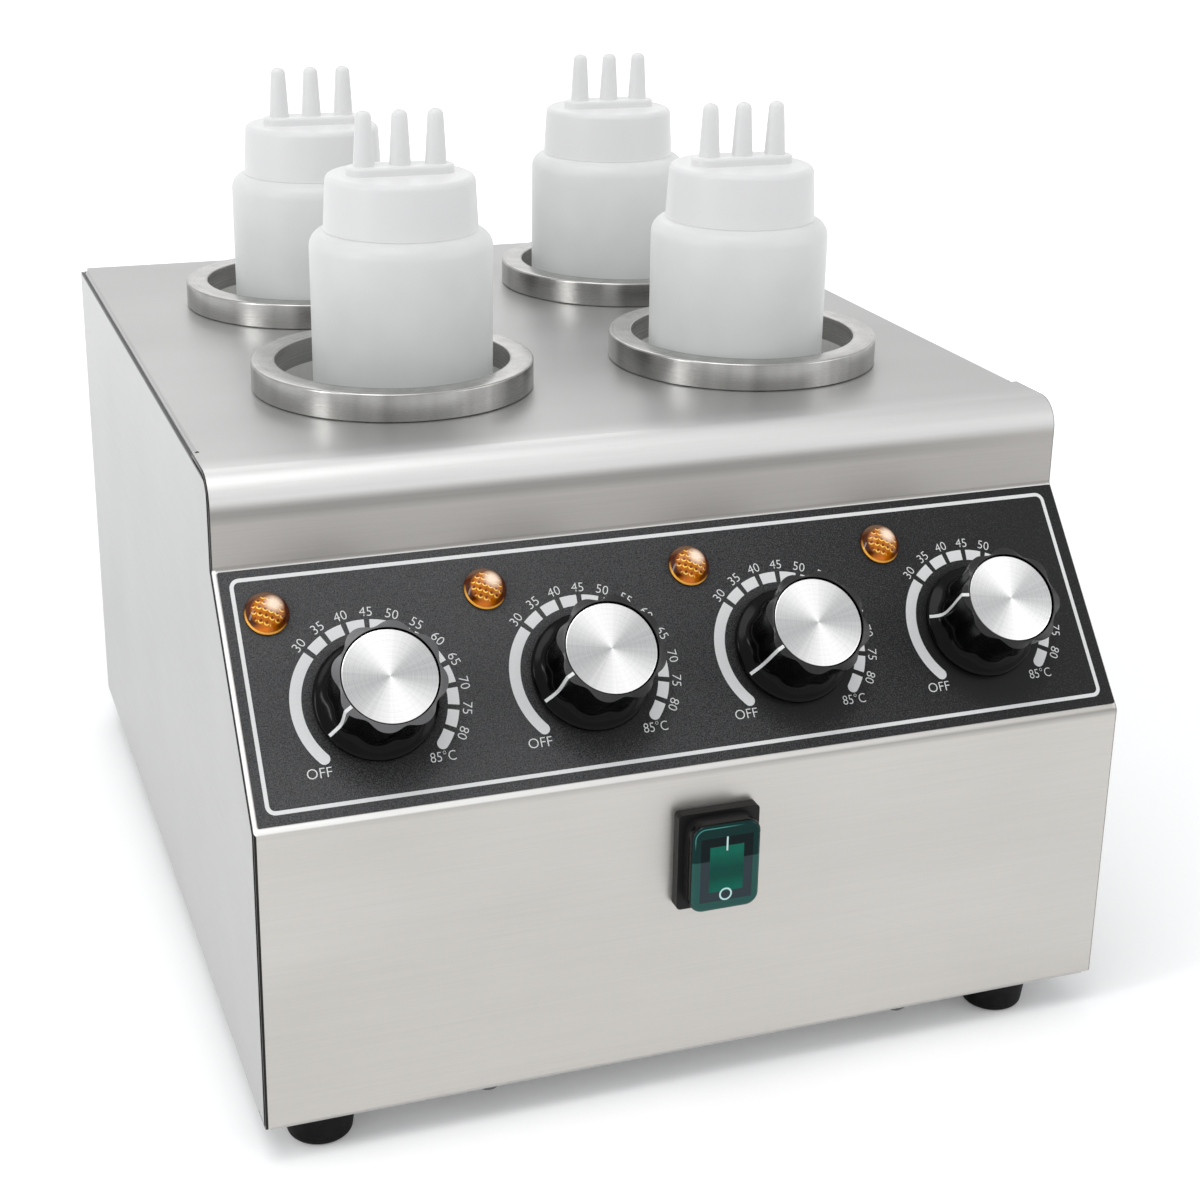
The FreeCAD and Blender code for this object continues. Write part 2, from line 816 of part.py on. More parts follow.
def band_heater(name):
    """The clamp band round one cup: split ring, two ears, their screw and two insulated posts."""
    inner = well_radius + well_wall
    outer = inner + band_thickness
    band_top = band_low_z + band_height
    half_split = math.radians(band_split_deg / 2)
    room = cylinder(inner, band_low_z - overrun, band_top + overrun)
    ring = cylinder(outer, band_low_z, band_top).cut(room)
    reach = outer + band_ear_length
    wedge = Part.Face(
        Part.makePolygon(
            [
                V(0, 0, band_low_z - overrun),
                V(reach * math.cos(half_split), -reach * math.sin(half_split), band_low_z - overrun),
                V(reach * math.cos(half_split), reach * math.sin(half_split), band_low_z - overrun),
                V(0, 0, band_low_z - overrun),
            ]
        )
    ).extrude(V(0, 0, band_height + 2 * overrun))
    ring = ring.cut(wedge)
    gap_half = outer * math.sin(half_split)
    ears = []
    for side in (-1, 1):
        low_y = gap_half if side > 0 else -gap_half - band_ear_thickness
        low = V(inner * math.cos(half_split), low_y, band_low_z)
        high = V(reach, low_y + band_ear_thickness, band_top)
        ears.append(block(low, high).cut(room))
    hole_x = outer + band_ear_length / 2
    hole_z = band_low_z + band_height / 2
    span = gap_half + band_ear_thickness
    start = V(hole_x, -span - overrun, hole_z)
    across = V(0, 1, 0)
    hole_radius = band_screw_radius + screw_hole_clearance
    hole = Part.makeCylinder(hole_radius, 2 * span + 2 * overrun, start, across)
    band = ring.fuse(ears).removeSplitter().cut(hole)
    screw = Part.makeCylinder(band_screw_radius, 2 * span + overrun, start, across)
    head_start = V(hole_x, span, hole_z)
    head = Part.makeCylinder(band_screw_head_radius, band_screw_head_height, head_start, across)
    solids = [band, screw.fuse(head)]
    for side in (-1, 1):
        post = cylinder(band_post_radius, 0, band_post_height)
        stud = cylinder(band_stud_radius, band_post_height, band_post_height + band_stud_height)
        turn = FreeCAD.Rotation(V(0, 0, 1), side * band_post_deg)
        out = turn.multVec(V(outer, 0, 0)) + V(0, 0, hole_z)
        place = FreeCAD.Placement(out, turn.multiply(FreeCAD.Rotation(V(0, 1, 0), 90)))
        seat = placed(post.fuse(stud), place)
        solids.append(seat.cut(cylinder(outer, band_low_z, band_top)))
    centre = well_centre(name)
    turn = 0 if centre.x < 0 else 180
    heater = compound(solids)
    heater.rotate(V(0, 0, 0), V(0, 0, 1), turn)
    heater.translate(V(centre.x, centre.y, 0))
    return heater


def bulb_centre(well):
    """Where the feeler bulb of one thermostat stands against its cup."""
    centre = well_centre(well)
    distance = well_radius + well_wall + bulb_wall_gap + bulb_radius
    if well.startswith("front"):
        return centre + V(0, -distance, 0)
    return centre + V(math.copysign(distance, centre.x), 0, 0)


def capillary_route(index):
    """Points of one capillary, from its thermostat's back to the foot of its bulb."""
    place = on_panel(dial_x(index), dial_above_chin)
    back = -sheet - thermostat_plate_thickness - thermostat_depth
    well = dial_wells[index]
    bulb = bulb_centre(well)
    start = place.multVec(V(0, thermostat_length / 4, back))
    clear = place.multVec(V(0, thermostat_length / 4, back - 2 * capillary_bend_radius))
    entry = bulb + V(0, 0, bulb_low_z)
    below = entry - V(0, 0, bulb_entry)
    if well.startswith("front"):
        return [start, clear, below, entry]
    aisle_x = math.copysign(casing_width / 2 - capillary_aisle_inset, bulb.x)
    aisle_start = V(aisle_x, clear.y + 4 * capillary_bend_radius, below.z)
    aisle_end = V(aisle_x, below.y - 3 * capillary_bend_radius, below.z)
    return [start, clear, aisle_start, aisle_end, below, entry]


def thermostat(index):
    """A capillary thermostat: plate, body with its bushing, blades, and capillary with bulb."""
    plate_low = -sheet - thermostat_plate_thickness
    back = plate_low - thermostat_depth
    plate = rounded_slab(
        thermostat_plate_width, thermostat_plate_length, thermostat_edge_round, plate_low, -sheet
    )
    body = rounded_slab(thermostat_width, thermostat_length, thermostat_edge_round, back, plate_low)
    bushing = cylinder(thermostat_bushing_radius, plate_low, 0)
    solids = [body, bushing]
    blade_x = thermostat_width / 4
    for side in (-1, 1):
        low_x = side * blade_x - thermostat_blade_width / 2
        low = V(low_x, -thermostat_length / 4, back - thermostat_blade_length)
        size = V(thermostat_blade_width, thermostat_blade_thickness, thermostat_blade_length + overrun)
        solids.append(block(low, low + size))
    unit = plate.fuse(solids)
    bore = cylinder(shaft_radius + shaft_running_gap, -shaft_in - shaft_collar_gap, overrun)
    pocket_low = -shaft_in - shaft_collar_gap
    pocket_high = pocket_low + shaft_collar_height + 2 * shaft_collar_gap
    pocket = cylinder(shaft_collar_radius, pocket_low, pocket_high)
    unit = unit.cut([bore, pocket])
    for side in (-1, 1):
        x = side * thermostat_screw_spacing / 2
        unit = unit.cut(cylinder(screw_shank_radius, -sheet - countersunk_length, overrun, x))
    unit = placed(unit, on_panel(dial_x(index), dial_above_chin))
    route = capillary_route(index)
    capillary = tube(route, capillary_radius, capillary_bend_radius)
    bulb = cylinder(bulb_radius, bulb_low_z, bulb_low_z + bulb_length, route[-1].x, route[-1].y)
    return unit.fuse([capillary, bulb])


def thermostat_screws():
    """The countersunk screws under the overlay, two to each thermostat."""
    head = Part.makeCone(screw_shank_radius, countersunk_head_radius, sheet, V(0, 0, -sheet))
    screw = head.fuse(cylinder(screw_shank_radius, -countersunk_length, -sheet))
    solids = []
    for index in range(len(dial_names)):
        for side in (-1, 1):
            x = dial_x(index) + side * thermostat_screw_spacing / 2
            solids.append(placed(screw, on_panel(x, dial_above_chin)))
    return compound(solids)


def dial_placement(index):
    """Placement of one knob at rest: local -Y points at its mark, turned from straight down."""
    place = on_panel(dial_x(index), dial_above_chin)
    turn = FreeCAD.Rotation(V(0, 0, 1), -dial_rest_degs[index])
    return place.multiply(FreeCAD.Placement(V(0, 0, 0), turn))


def thermostat_shaft(index):
    """The D-shaped shaft between a thermostat and its knob, with a collar inside the body."""
    shaft = cylinder(shaft_radius, -shaft_in, shaft_out)
    collar_low = -shaft_in
    collar = cylinder(
        shaft_collar_radius - shaft_running_gap, collar_low, collar_low + shaft_collar_height
    )
    flat_y = shaft_radius - shaft_flat_depth
    low = V(-shaft_radius - overrun, flat_y, shaft_out - shaft_flat_length)
    high = V(shaft_radius + overrun, shaft_radius + overrun, shaft_out + overrun)
    return placed(shaft.fuse(collar).cut(block(low, high)), dial_placement(index))


def lobed_wire(peak_radius, depth, z):
    """A closed wavy outline of round lobes and round hollows, one lobe at local -Y."""
    step = math.pi / knob_lobe_count
    valley_radius = peak_radius - depth
    mean_radius = peak_radius - depth / 2
    edges = []
    for i in range(2 * knob_lobe_count):
        middle = -math.pi / 2 + i * step
        radius = peak_radius if i % 2 == 0 else valley_radius
        points = []
        for turn, r in ((-step / 2, mean_radius), (0, radius), (step / 2, mean_radius)):
            angle = middle + turn
            points.append(V(r * math.cos(angle), r * math.sin(angle), z))
        edges.append(Part.Arc(*points).toShape())
    return Part.Wire(edges)


def circle_wire(radius, z):
    """A circle cut into as many arcs as a lobed outline has, to loft to it."""
    step = math.pi / knob_lobe_count
    edges = []
    for i in range(2 * knob_lobe_count):
        middle = -math.pi / 2 + i * step
        points = []
        for angle in (middle - step / 2, middle, middle + step / 2):
            points.append(V(radius * math.cos(angle), radius * math.sin(angle), z))
        edges.append(Part.Arc(*points).toShape())
    return Part.Wire(edges)


def knob(index):
    """A skirted knob with a lobed grip, a bevelled rim and a recess for its disc."""
    low = overlay_thickness + knob_gap
    skirt_top = low + knob_skirt_edge
    skirt = revolved(
        [
            (0, low),
            (knob_skirt_radius, low),
            (knob_skirt_radius, skirt_top),
            (knob_waist_radius, skirt_top + knob_flare_height),
            (knob_waist_radius - knob_lobe_depth, knob_waist_height + low),
            (0, knob_waist_height + low),
        ],
        [0, 0, knob_skirt_round, knob_flare_height, 0, 0],
    )
    foot_z = skirt_top + knob_flare_height / 2
    grip = Part.makeLoft(
        [
            lobed_wire(knob_waist_radius + knob_lobe_depth / 2, knob_lobe_depth / 2, foot_z),
            lobed_wire(knob_top_radius, knob_lobe_depth, knob_lobe_height),
        ],
        True,
        True,
    )
    brim = lobed_wire(knob_top_radius, knob_lobe_depth, knob_lobe_height)
    bevel = Part.makeLoft([brim, circle_wire(knob_rim_radius, knob_height)], True, True)
    solid = skirt.fuse([grip, bevel])
    hub_low = low + knob_wall
    cuts = [
        cylinder(knob_recess_radius, knob_height - knob_recess_depth, knob_height + overrun),
        cylinder(knob_skirt_radius - knob_wall, low - overrun, low + knob_wall / 2),
        cylinder(knob_hollow_radius, low - overrun, knob_hollow_height).cut(
            cylinder(knob_hub_radius, hub_low, knob_hollow_height + overrun)
        ),
        shaft_bore(),
    ]
    return placed(solid.cut(cuts), dial_placement(index))


def shaft_bore():
    """The blind D-shaped bore in a knob's hub."""
    radius = shaft_radius + shaft_fit_gap
    bore = cylinder(radius, -overrun, shaft_out + shaft_fit_gap)
    flat_y = shaft_radius - shaft_flat_depth + shaft_fit_gap
    low = V(-radius - overrun, flat_y, shaft_out - knob_bore_depth / 2)
    high = V(radius + overrun, radius + overrun, shaft_out + overrun)
    return bore.cut(block(low, high))


def knob_disc(index):
    """The turned aluminium disc in a knob's top."""
    low = knob_height - knob_recess_depth
    top = low + disc_thickness
    disc = revolved(
        [
            (0, low),
            (disc_radius, low),
            (disc_radius, top - disc_edge_chamfer),
            (disc_radius - disc_edge_chamfer, top),
            (0, top),
        ]
    )
    return placed(disc, dial_placement(index))


def lamp_placement(index):
    """Placement of one pilot lamp, up and left of its dial."""
    return on_panel(dial_x(index) - lamp_from_dial, lamp_above_chin)


def lamp_lens(index):
    """An amber lens: a domed cap on a rim, with a stem that fits in the lamp's sleeve."""
    low = overlay_thickness
    rim_top = low + lamp_lens_rim
    top = low + lamp_lens_height
    rise = top - rim_top
    sphere_radius = (lamp_lens_radius ** 2 + rise ** 2) / (2 * rise)
    dome = Part.makeSphere(sphere_radius, V(0, 0, top - sphere_radius))
    dome = dome.common(cylinder(lamp_lens_radius, rim_top, top + overrun))
    lens = dome.fuse([
        cylinder(lamp_lens_radius, low, rim_top),
        cylinder(lamp_stem_radius, low - lamp_stem_length, low),
    ])
    return placed(lens.removeSplitter(), lamp_placement(index))


def lamp_bodies():
    """The four lamp sleeves with their nuts and pins, behind the panel."""
    low = -lamp_sleeve_length
    stem_end = overlay_thickness - lamp_stem_length - lamp_fit_gap
    bore = cylinder(lamp_stem_radius + lamp_fit_gap, stem_end, overlay_thickness + overrun)
    sleeve = cylinder(lamp_sleeve_radius, low, overlay_thickness).cut(bore)
    nut_low = -sheet - lamp_nut_height
    sleeve = sleeve.fuse(hexagon(lamp_nut_radius, nut_low, -sheet))
    sleeve = sleeve.cut(bore)
    for side in (-1, 1):
        x = side * lamp_pin_spacing / 2
        sleeve = sleeve.fuse(cylinder(lamp_pin_radius, low - lamp_pin_length, low + overrun, x))
    return compound([placed(sleeve, lamp_placement(index)) for index in range(len(dial_names))])


def switch_placement():
    """Placement of the switch on the lower front."""
    return on_front(0, switch_height)


def rocker_tip():
    """Height of the rocker's tips above the panel when it is level."""
    return rocker_centre_height + rocker_tip_rise


def rocker_reach():
    """Radius of the rocker's ends about its pins."""
    return math.hypot(rocker_length / 2, rocker_tip() - rocker_pivot_height)


def rocker_pocket():
    """The space in the switch housing that the rocker swings in."""
    x = rocker_width / 2 + rocker_gap
    y = rocker_reach() + rocker_gap
    top = switch_flange_thickness + switch_step_height + overrun
    swing = block(V(-x, -y, 0), V(x, y, top))
    half = switch_pocket_length / 2
    return swing.fuse(block(V(-x, -half, -switch_pocket_depth), V(x, half, overrun)))


def rocker_pins(radius, length):
    """The rod through the rocker's pins, with one radius and a length past each side."""
    reach = rocker_width / 2 + length
    return Part.makeCylinder(radius, 2 * reach, V(-reach, 0, rocker_pivot_height), V(1, 0, 0))


def switch_housing():
    """Switch body: flange, raised step with round corners, snap-in body and blades."""
    flange = rounded_slab(
        switch_flange_width, switch_flange_length, switch_flange_corner, 0, switch_flange_thickness
    )
    step_top = switch_flange_thickness + switch_step_height
    step = rounded_slab(
        switch_step_width, switch_step_length, switch_step_corner, switch_flange_thickness, step_top
    )
    body = block(
        V(-switch_body_width / 2, -switch_body_length / 2, -switch_body_depth),
        V(switch_body_width / 2, switch_body_length / 2, 0),
    )
    pin_hole = rocker_pins(rocker_pin_radius + rocker_pin_gap, rocker_pin_length + rocker_gap)
    housing = flange.fuse([step, body]).cut([rocker_pocket(), pin_hole])
    for side_x in (-1, 1):
        for side_y in (-1, 1):
            low = V(
                side_x * switch_blade_spacing_x / 2 - thermostat_blade_thickness / 2,
                side_y * switch_blade_spacing_z / 2 - thermostat_blade_width / 2,
                -switch_body_depth - thermostat_blade_length,
            )
            size = V(thermostat_blade_thickness, thermostat_blade_width, thermostat_blade_length + overrun)
            housing = housing.fuse(block(low, low + size))
    return placed(housing, switch_placement())


def switch_rocker():
    """The V-faced rocker on its two pins, drawn level and set with its lower half pressed in."""
    half = rocker_length / 2
    reach = rocker_reach()
    low = rocker_centre_height - rocker_thickness
    low_half = math.sqrt(reach ** 2 - (low - rocker_pivot_height) ** 2)
    tip = V(0, half, rocker_tip())
    foot = V(0, low_half, low)
    pivot = V(0, 0, rocker_pivot_height)
    bulge = pivot + ((tip + foot) / 2 - pivot).normalize() * reach
    right_arc = Part.Arc(tip, bulge, foot).toShape()
    profile = [
        Part.LineSegment(V(0, 0, rocker_centre_height), tip).toShape(),
        right_arc,
        Part.LineSegment(foot, V(0, -foot.y, foot.z)).toShape(),
        right_arc.mirror(V(0, 0, 0), V(0, 1, 0)),
        Part.LineSegment(V(0, -tip.y, tip.z), V(0, 0, rocker_centre_height)).toShape(),
    ]
    face = Part.Face(Part.Wire(Part.__sortEdges__(profile)))
    face.translate(V(-rocker_width / 2, 0, 0))
    body = face.extrude(V(rocker_width, 0, 0))
    hub = Part.makeCylinder(
        rocker_hub_radius, rocker_width, V(-rocker_width / 2, 0, rocker_pivot_height), V(1, 0, 0)
    )
    hub_top = rocker_centre_height - rocker_thickness / 2
    cap = block(V(-rocker_width, -half, hub_top), V(rocker_width, half, hub_top + rocker_length))
    rocker = body.fuse([hub.cut(cap), rocker_pins(rocker_pin_radius, rocker_pin_length)])
    rocker = rocker.removeSplitter()
    rocker.rotate(pivot, V(1, 0, 0), rocker_throw_deg / 2)
    return placed(rocker, switch_placement())


def switch_cover():
    """The clear cover over the rocker, sealed on the housing's step."""
    low = switch_flange_thickness + switch_step_height
    outer = rounded_slab(switch_step_width, switch_step_length, switch_step_corner, low, switch_out)
    outer = outer.makeFillet(cover_edge_round, edges_at(outer, switch_out))
    inner = rounded_slab(
        switch_step_width - 2 * cover_wall,
        switch_step_length - 2 * cover_wall,
        switch_step_corner - cover_wall,
        low - overrun,
        switch_out - cover_wall,
    )
    return placed(outer.cut(inner), switch_placement())


def gland_placement():
    """Placement of the cable gland on the back panel's outer face."""
    return on_rear(gland_x, casing_depth - sheet, gland_z)


def cable_gland():
    """The cable gland: hexagonal flange, domed nut and thread, with the cable's bore."""
    flange = hexagon(gland_flange_radius, 0, gland_flange_thickness)
    end = gland_flange_thickness + gland_dome_length
    dome = revolved(
        [
            (0, gland_flange_thickness),
            (gland_dome_radius, gland_flange_thickness),
            (gland_dome_radius, end),
            (0, end),
        ],
        [0, 0, gland_dome_round, 0],
    )
    thread = cylinder(gland_thread_radius, -sheet - gland_thread_length, 0)
    gland = flange.fuse([dome, thread])
    bore = cylinder(gland_bore_radius, -sheet - gland_thread_length - overrun, end + overrun)
    return placed(gland.cut(bore), gland_placement())


def gland_nut():
    """The lock nut inside the back panel."""
    low = -sheet - gland_nut_thickness
    nut = hexagon(gland_nut_radius, low, -sheet)
    nut = nut.cut(cylinder(gland_thread_radius, low - overrun, overrun))
    return placed(nut, gland_placement())


def terminal_block():
    """The terminal block on the bottom plate: a stepped bar with a screw for each pole."""
    length = block_poles * block_pole_pitch
    base_y = casing_depth - block_from_rear
    profile = [
        V(0, -block_length / 2, sheet),
        V(0, block_length / 2, sheet),
        V(0, block_length / 2, block_height - block_step),
        V(0, block_length / 2 - block_step, block_height),
        V(0, block_step - block_length / 2, block_height),
        V(0, -block_length / 2, block_height - block_step),
    ]
    bar = face_of(profile, [0, 0] + [block_edge_round] * 4)
    bar.translate(V(-length / 2, 0, 0))
    bar = bar.extrude(V(length, 0, 0))
    for pole in range(block_poles):
        x = (pole - (block_poles - 1) / 2) * block_pole_pitch
        screw_low = block_height - block_screw_depth
        bar = bar.cut(cylinder(block_screw_radius, screw_low, block_height + overrun, x))
        wire_start = V(x, -block_length / 2 - overrun, sheet + block_height / 3)
        wire_run = block_length + 2 * overrun
        bar = bar.cut(Part.makeCylinder(block_wire_radius, wire_run, wire_start, V(0, 1, 0)))
    bar.translate(V(block_x, base_y, 0))
    return bar


def bottle(name):
    """A squeeze bottle: slightly tapered body, round shoulder and threaded neck."""
    neck_top = bottle_body_height + bottle_neck_height
    inner_radius = bottle_radius - bottle_wall
    inner_base = bottle_base_radius - bottle_wall
    inner_shoulder = bottle_body_height - bottle_wall
    inner_neck = bottle_neck_radius - bottle_wall
    body = revolved(
        [
            (0, 0),
            (bottle_base_radius, 0),
            (bottle_radius, bottle_body_height),
            (bottle_neck_radius, bottle_body_height),
            (bottle_neck_radius, neck_top),
            (inner_neck, neck_top),
            (inner_neck, inner_shoulder),
            (inner_radius, inner_shoulder),
            (inner_base, bottle_wall),
            (0, bottle_wall),
        ],
        [
            0,
            bottle_base_round,
            bottle_shoulder_round,
            0,
            0,
            0,
            bottle_wall / 2,
            bottle_shoulder_round - bottle_wall,
            bottle_base_round - bottle_wall,
            0,
        ],
    )
    ridges = []
    for turn in range(bottle_thread_turns):
        z = bottle_body_height + bottle_thread_pitch * (turn + 0.75)
        crest = bottle_neck_radius + bottle_thread_rise
        root = bottle_neck_radius - bottle_wall / 2
        ridges.append(
            revolved([(root, z - bottle_thread_rise), (crest, z), (root, z + bottle_thread_rise)])
        )
    solid = body.fuse(ridges)
    solid.translate(bottle_centre(name))
    return solid


def bottle_cap(name):
    """A screw cap with three conical nozzles in a row on a raised pad."""
    low = bottle_body_height + cap_gap
    top = low + cap_height
    bore_radius = bottle_neck_radius + bottle_thread_rise + cap_fit_gap
    shell = revolved(
        [
            (0, top - cap_top_thickness),
            (bore_radius, top - cap_top_thickness),
            (bore_radius, low),
            (cap_bottom_radius, low),
            (cap_top_radius, top),
            (0, top),
        ],
        [0, cap_fit_gap, 0, 0, cap_top_round, 0],
    )
    pad_length = 2 * nozzle_pitch + cap_pad_width
    pad_top = top + cap_pad_height
    pad = rounded_slab(pad_length, cap_pad_width, cap_pad_width / 2 * 0.98, top - overrun, pad_top)
    pad = pad.makeFillet(cap_pad_round, edges_at(pad, pad_top))
    nozzle_foot = pad_top - overrun
    nozzle_end = pad_top + nozzle_length
    nozzles = []
    bores = []
    for step in (-1, 0, 1):
        x = step * nozzle_pitch
        cone = revolved(
            [
                (0, nozzle_foot),
                (nozzle_base_radius, nozzle_foot),
                (nozzle_tip_radius, nozzle_end),
                (0, nozzle_end),
            ],
            [0, 0, nozzle_tip_radius * 0.85, 0],
        )
        cone.translate(V(x, 0, 0))
        nozzles.append(cone)
        bore = Part.makeCone(
            nozzle_base_radius - nozzle_wall,
            nozzle_outlet_radius,
            nozzle_end - top + cap_top_thickness + 2 * overrun,
            V(x, 0, top - cap_top_thickness - overrun),
        )
        bores.append(bore)
    cap = shell.fuse([pad] + nozzles).cut(bores)
    cap.translate(bottle_centre(name))
    return cap


def all_nodes():
    """Every node of the part, by name."""
    nodes = {
        "wrap_cover": wrap_cover(),
        "side_panel_left": side_panel(-1),
        "side_panel_right": side_panel(1),
        "back_panel": back_panel(),
        "base_plate": base_plate(),
        "panel_overlay": panel_overlay(),
        "casing_screws": casing_screws(),
        "foot_screws": foot_screws(),
        "thermostat_screws": thermostat_screws(),
        "lamp_bodies": lamp_bodies(),
        "switch_housing": switch_housing(),
        "switch_rocker": switch_rocker(),
        "switch_cover": switch_cover(),
        "cable_gland": cable_gland(),
        "gland_nut": gland_nut(),
        "terminal_block": terminal_block(),
    }
    for name, centre in foot_centres().items():
        nodes["foot_" + name] = rubber_foot(centre)
    for name in well_names:
        nodes["well_collar_" + name] = well_collar(name)
        nodes["well_cup_" + name] = well_cup(name)
        nodes["band_heater_" + name] = band_heater(name)
        nodes["bottle_" + name] = bottle(name)
        nodes["bottle_cap_" + name] = bottle_cap(name)
    for index, name in enumerate(dial_names):
        nodes["thermostat_" + name] = thermostat(index)
        nodes["thermostat_shaft_" + name] = thermostat_shaft(index)
        nodes["knob_" + name] = knob(index)
        nodes["knob_disc_" + name] = knob_disc(index)
        nodes["lamp_lens_" + name] = lamp_lens(index)
    return nodes


def main():
    """Writes each node to its own file, in the part's own frame."""
    os.makedirs("parts", exist_ok=True)
    for name, shape in all_nodes().items():
        shape.translate(frame_shift)
        if not shape.isValid() or not shape.Solids:
            raise ValueError(name + " is not a valid solid")
        shape.exportStep(os.path.join("parts", name + ".step"))
        box = shape.BoundBox
        size = [round(length, 2) for length in (box.XLength, box.YLength, box.ZLength)]
        print(name, len(shape.Solids), "solids", *size)


main()
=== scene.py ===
"""Looks of the hot fudge topping warmer: finishes, prints and finely shaped pieces over the frame."""
import bpy
import math
from mathutils import Matrix, Vector


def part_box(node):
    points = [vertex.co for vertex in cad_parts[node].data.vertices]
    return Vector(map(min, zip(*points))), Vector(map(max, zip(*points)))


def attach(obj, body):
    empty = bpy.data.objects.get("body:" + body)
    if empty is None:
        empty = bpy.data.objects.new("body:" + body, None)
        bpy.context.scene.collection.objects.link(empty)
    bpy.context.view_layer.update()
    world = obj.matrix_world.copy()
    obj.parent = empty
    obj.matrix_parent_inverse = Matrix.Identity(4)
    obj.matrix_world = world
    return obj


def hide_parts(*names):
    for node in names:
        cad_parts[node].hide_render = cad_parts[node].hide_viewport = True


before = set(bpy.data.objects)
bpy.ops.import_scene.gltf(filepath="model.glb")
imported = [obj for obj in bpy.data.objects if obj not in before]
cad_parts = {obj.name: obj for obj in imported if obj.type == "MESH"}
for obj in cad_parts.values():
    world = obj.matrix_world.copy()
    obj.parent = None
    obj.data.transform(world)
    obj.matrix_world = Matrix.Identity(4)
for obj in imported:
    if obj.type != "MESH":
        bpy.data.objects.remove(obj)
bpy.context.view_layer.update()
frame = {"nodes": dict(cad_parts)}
nodes = frame["nodes"]

MM = 0.001
WELLS = ("front_left", "front_right", "rear_left", "rear_right")
DIALS = ("1", "2", "3", "4")
# Degrees clockwise from straight down at which each dial's pointer rests
DIAL_RESTS = (59, 65, 65, 100)


# Sizes in millimetres, read from the frame where its boxes show them

def corners(node):
    """The low and high corners of a node's box, in millimetres."""
    low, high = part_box(node)
    return Vector(low) / MM, Vector(high) / MM


def middle(node):
    """The middle of a node's footprint and its underside, in millimetres."""
    low, high = corners(node)
    return Vector(((low.x + high.x) / 2, (low.y + high.y) / 2, low.z))


wrap_low, wrap_high = corners("wrap_cover")
cover_low, cover_high = corners("switch_cover")
ring_low, ring_high = corners("well_collar_front_left")
HALF_WIDTH = corners("side_panel_right")[1].x
FRONT_Y = wrap_low.y
REAR_Y = wrap_high.y
BASE_Z = wrap_low.z
DECK_Z = wrap_high.z
BEND_Z = DECK_Z - 10.0
KINK_Z = DECK_Z - 30.0
PANEL_RISE = 65.0
PANEL_TILT = math.radians(40)
CHIN_Z = KINK_Z - PANEL_RISE
FASCIA_Y = FRONT_Y + PANEL_RISE * math.tan(PANEL_TILT)
CHIN = Vector((0, FRONT_Y, CHIN_Z))
OVERLAY = 0.5
PRINT_LIFT = 0.04
DIAL_PITCH = (middle("thermostat_shaft_4").x - middle("thermostat_shaft_1").x) / 3
DIAL_UP = 36.6
LAMP_LEFT = 28.95
LAMP_UP = 68.6
SWITCH_Z = (cover_low.z + cover_high.z) / 2
COVER_FACE = FRONT_Y - cover_low.y
RING_BORE = 41.5
RING_RIM = (ring_high.x - ring_low.x) / 2
RING_HEIGHT = ring_high.z - ring_low.z


# Placing and picking

def calm():
    """Leaves edit mode with nothing selected."""
    if bpy.context.object and bpy.context.object.mode != "OBJECT":
        bpy.ops.object.mode_set(mode="OBJECT")
    bpy.ops.object.select_all(action="DESELECT")


def edit(piece, mode="VERT"):
    """Opens one piece in edit mode, with nothing of it selected."""
    calm()
    bpy.context.view_layer.objects.active = piece
    piece.select_set(True)
    bpy.ops.object.mode_set(mode="EDIT")
    bpy.ops.mesh.select_mode(type=mode)
    bpy.ops.mesh.select_all(action="DESELECT")


def pick(piece, test, kind="VERT"):
    """Selects the vertices, edges or faces of a piece that pass a test on their points."""
    edit(piece, kind)
    bpy.ops.object.mode_set(mode="OBJECT")
    mesh = piece.data
    points = [v.co for v in mesh.vertices]
    if kind == "VERT":
        for v in mesh.vertices:
            v.select = test(v.co)
    elif kind == "EDGE":
        for e in mesh.edges:
            e.select = all(test(points[i]) for i in e.vertices)
    else:
        for f in mesh.polygons:
            f.select = test(f)
    bpy.ops.object.mode_set(mode="EDIT")


def modified(piece, kind, **settings):
    """Adds a modifier, sets it and applies it."""
    calm()
    bpy.context.view_layer.objects.active = piece
    piece.select_set(True)
    modifier = piece.modifiers.new(kind.title(), kind)
    for key, value in settings.items():
        setattr(modifier, key, value)
    bpy.ops.object.modifier_apply(modifier=modifier.name)


def on_ring(radius, height):
    """Tests whether a point lies on a ring round the Z axis."""
    return lambda p: abs(math.hypot(p.x, p.y) - radius) < 0.02 and abs(p.z - height) < 0.02


def new_piece(primitive, **sizes):
    """A primitive added by itself, with nothing else selected."""
    calm()
    primitive(**sizes)
    return bpy.context.object


def seal():
    """Closes the open ends of the piece in edit mode and turns its faces outwards."""
    bpy.ops.mesh.select_all(action="SELECT")
    bpy.ops.mesh.fill_holes(sides=0)
    bpy.ops.mesh.select_all(action="SELECT")
    bpy.ops.mesh.normals_make_consistent(inside=False)


def turned(name, profile, segments):
    """A turned form: a ring of edges drawn through (radius, height) steps, and closed."""
    radius, height = profile[0]
    piece = new_piece(
        bpy.ops.mesh.primitive_circle_add,
        vertices=segments, radius=radius, location=(0, 0, height), fill_type="NOTHING")
    piece.name = name
    bpy.ops.object.transform_apply()
    edit(piece)
    bpy.ops.mesh.select_all(action="SELECT")
    for new_radius, new_height in profile[1:]:
        bpy.ops.mesh.extrude_region_move(
            TRANSFORM_OT_translate={"value": (0, 0, new_height - height)})
        ratio = new_radius / radius
        bpy.ops.transform.resize(value=(ratio, ratio, 1), center_override=(0, 0, new_height))
        radius, height = new_radius, new_height
    bpy.ops.mesh.select_all(action="SELECT")
    bpy.ops.mesh.remove_doubles(threshold=0.001)
    seal()
    calm()
    return piece


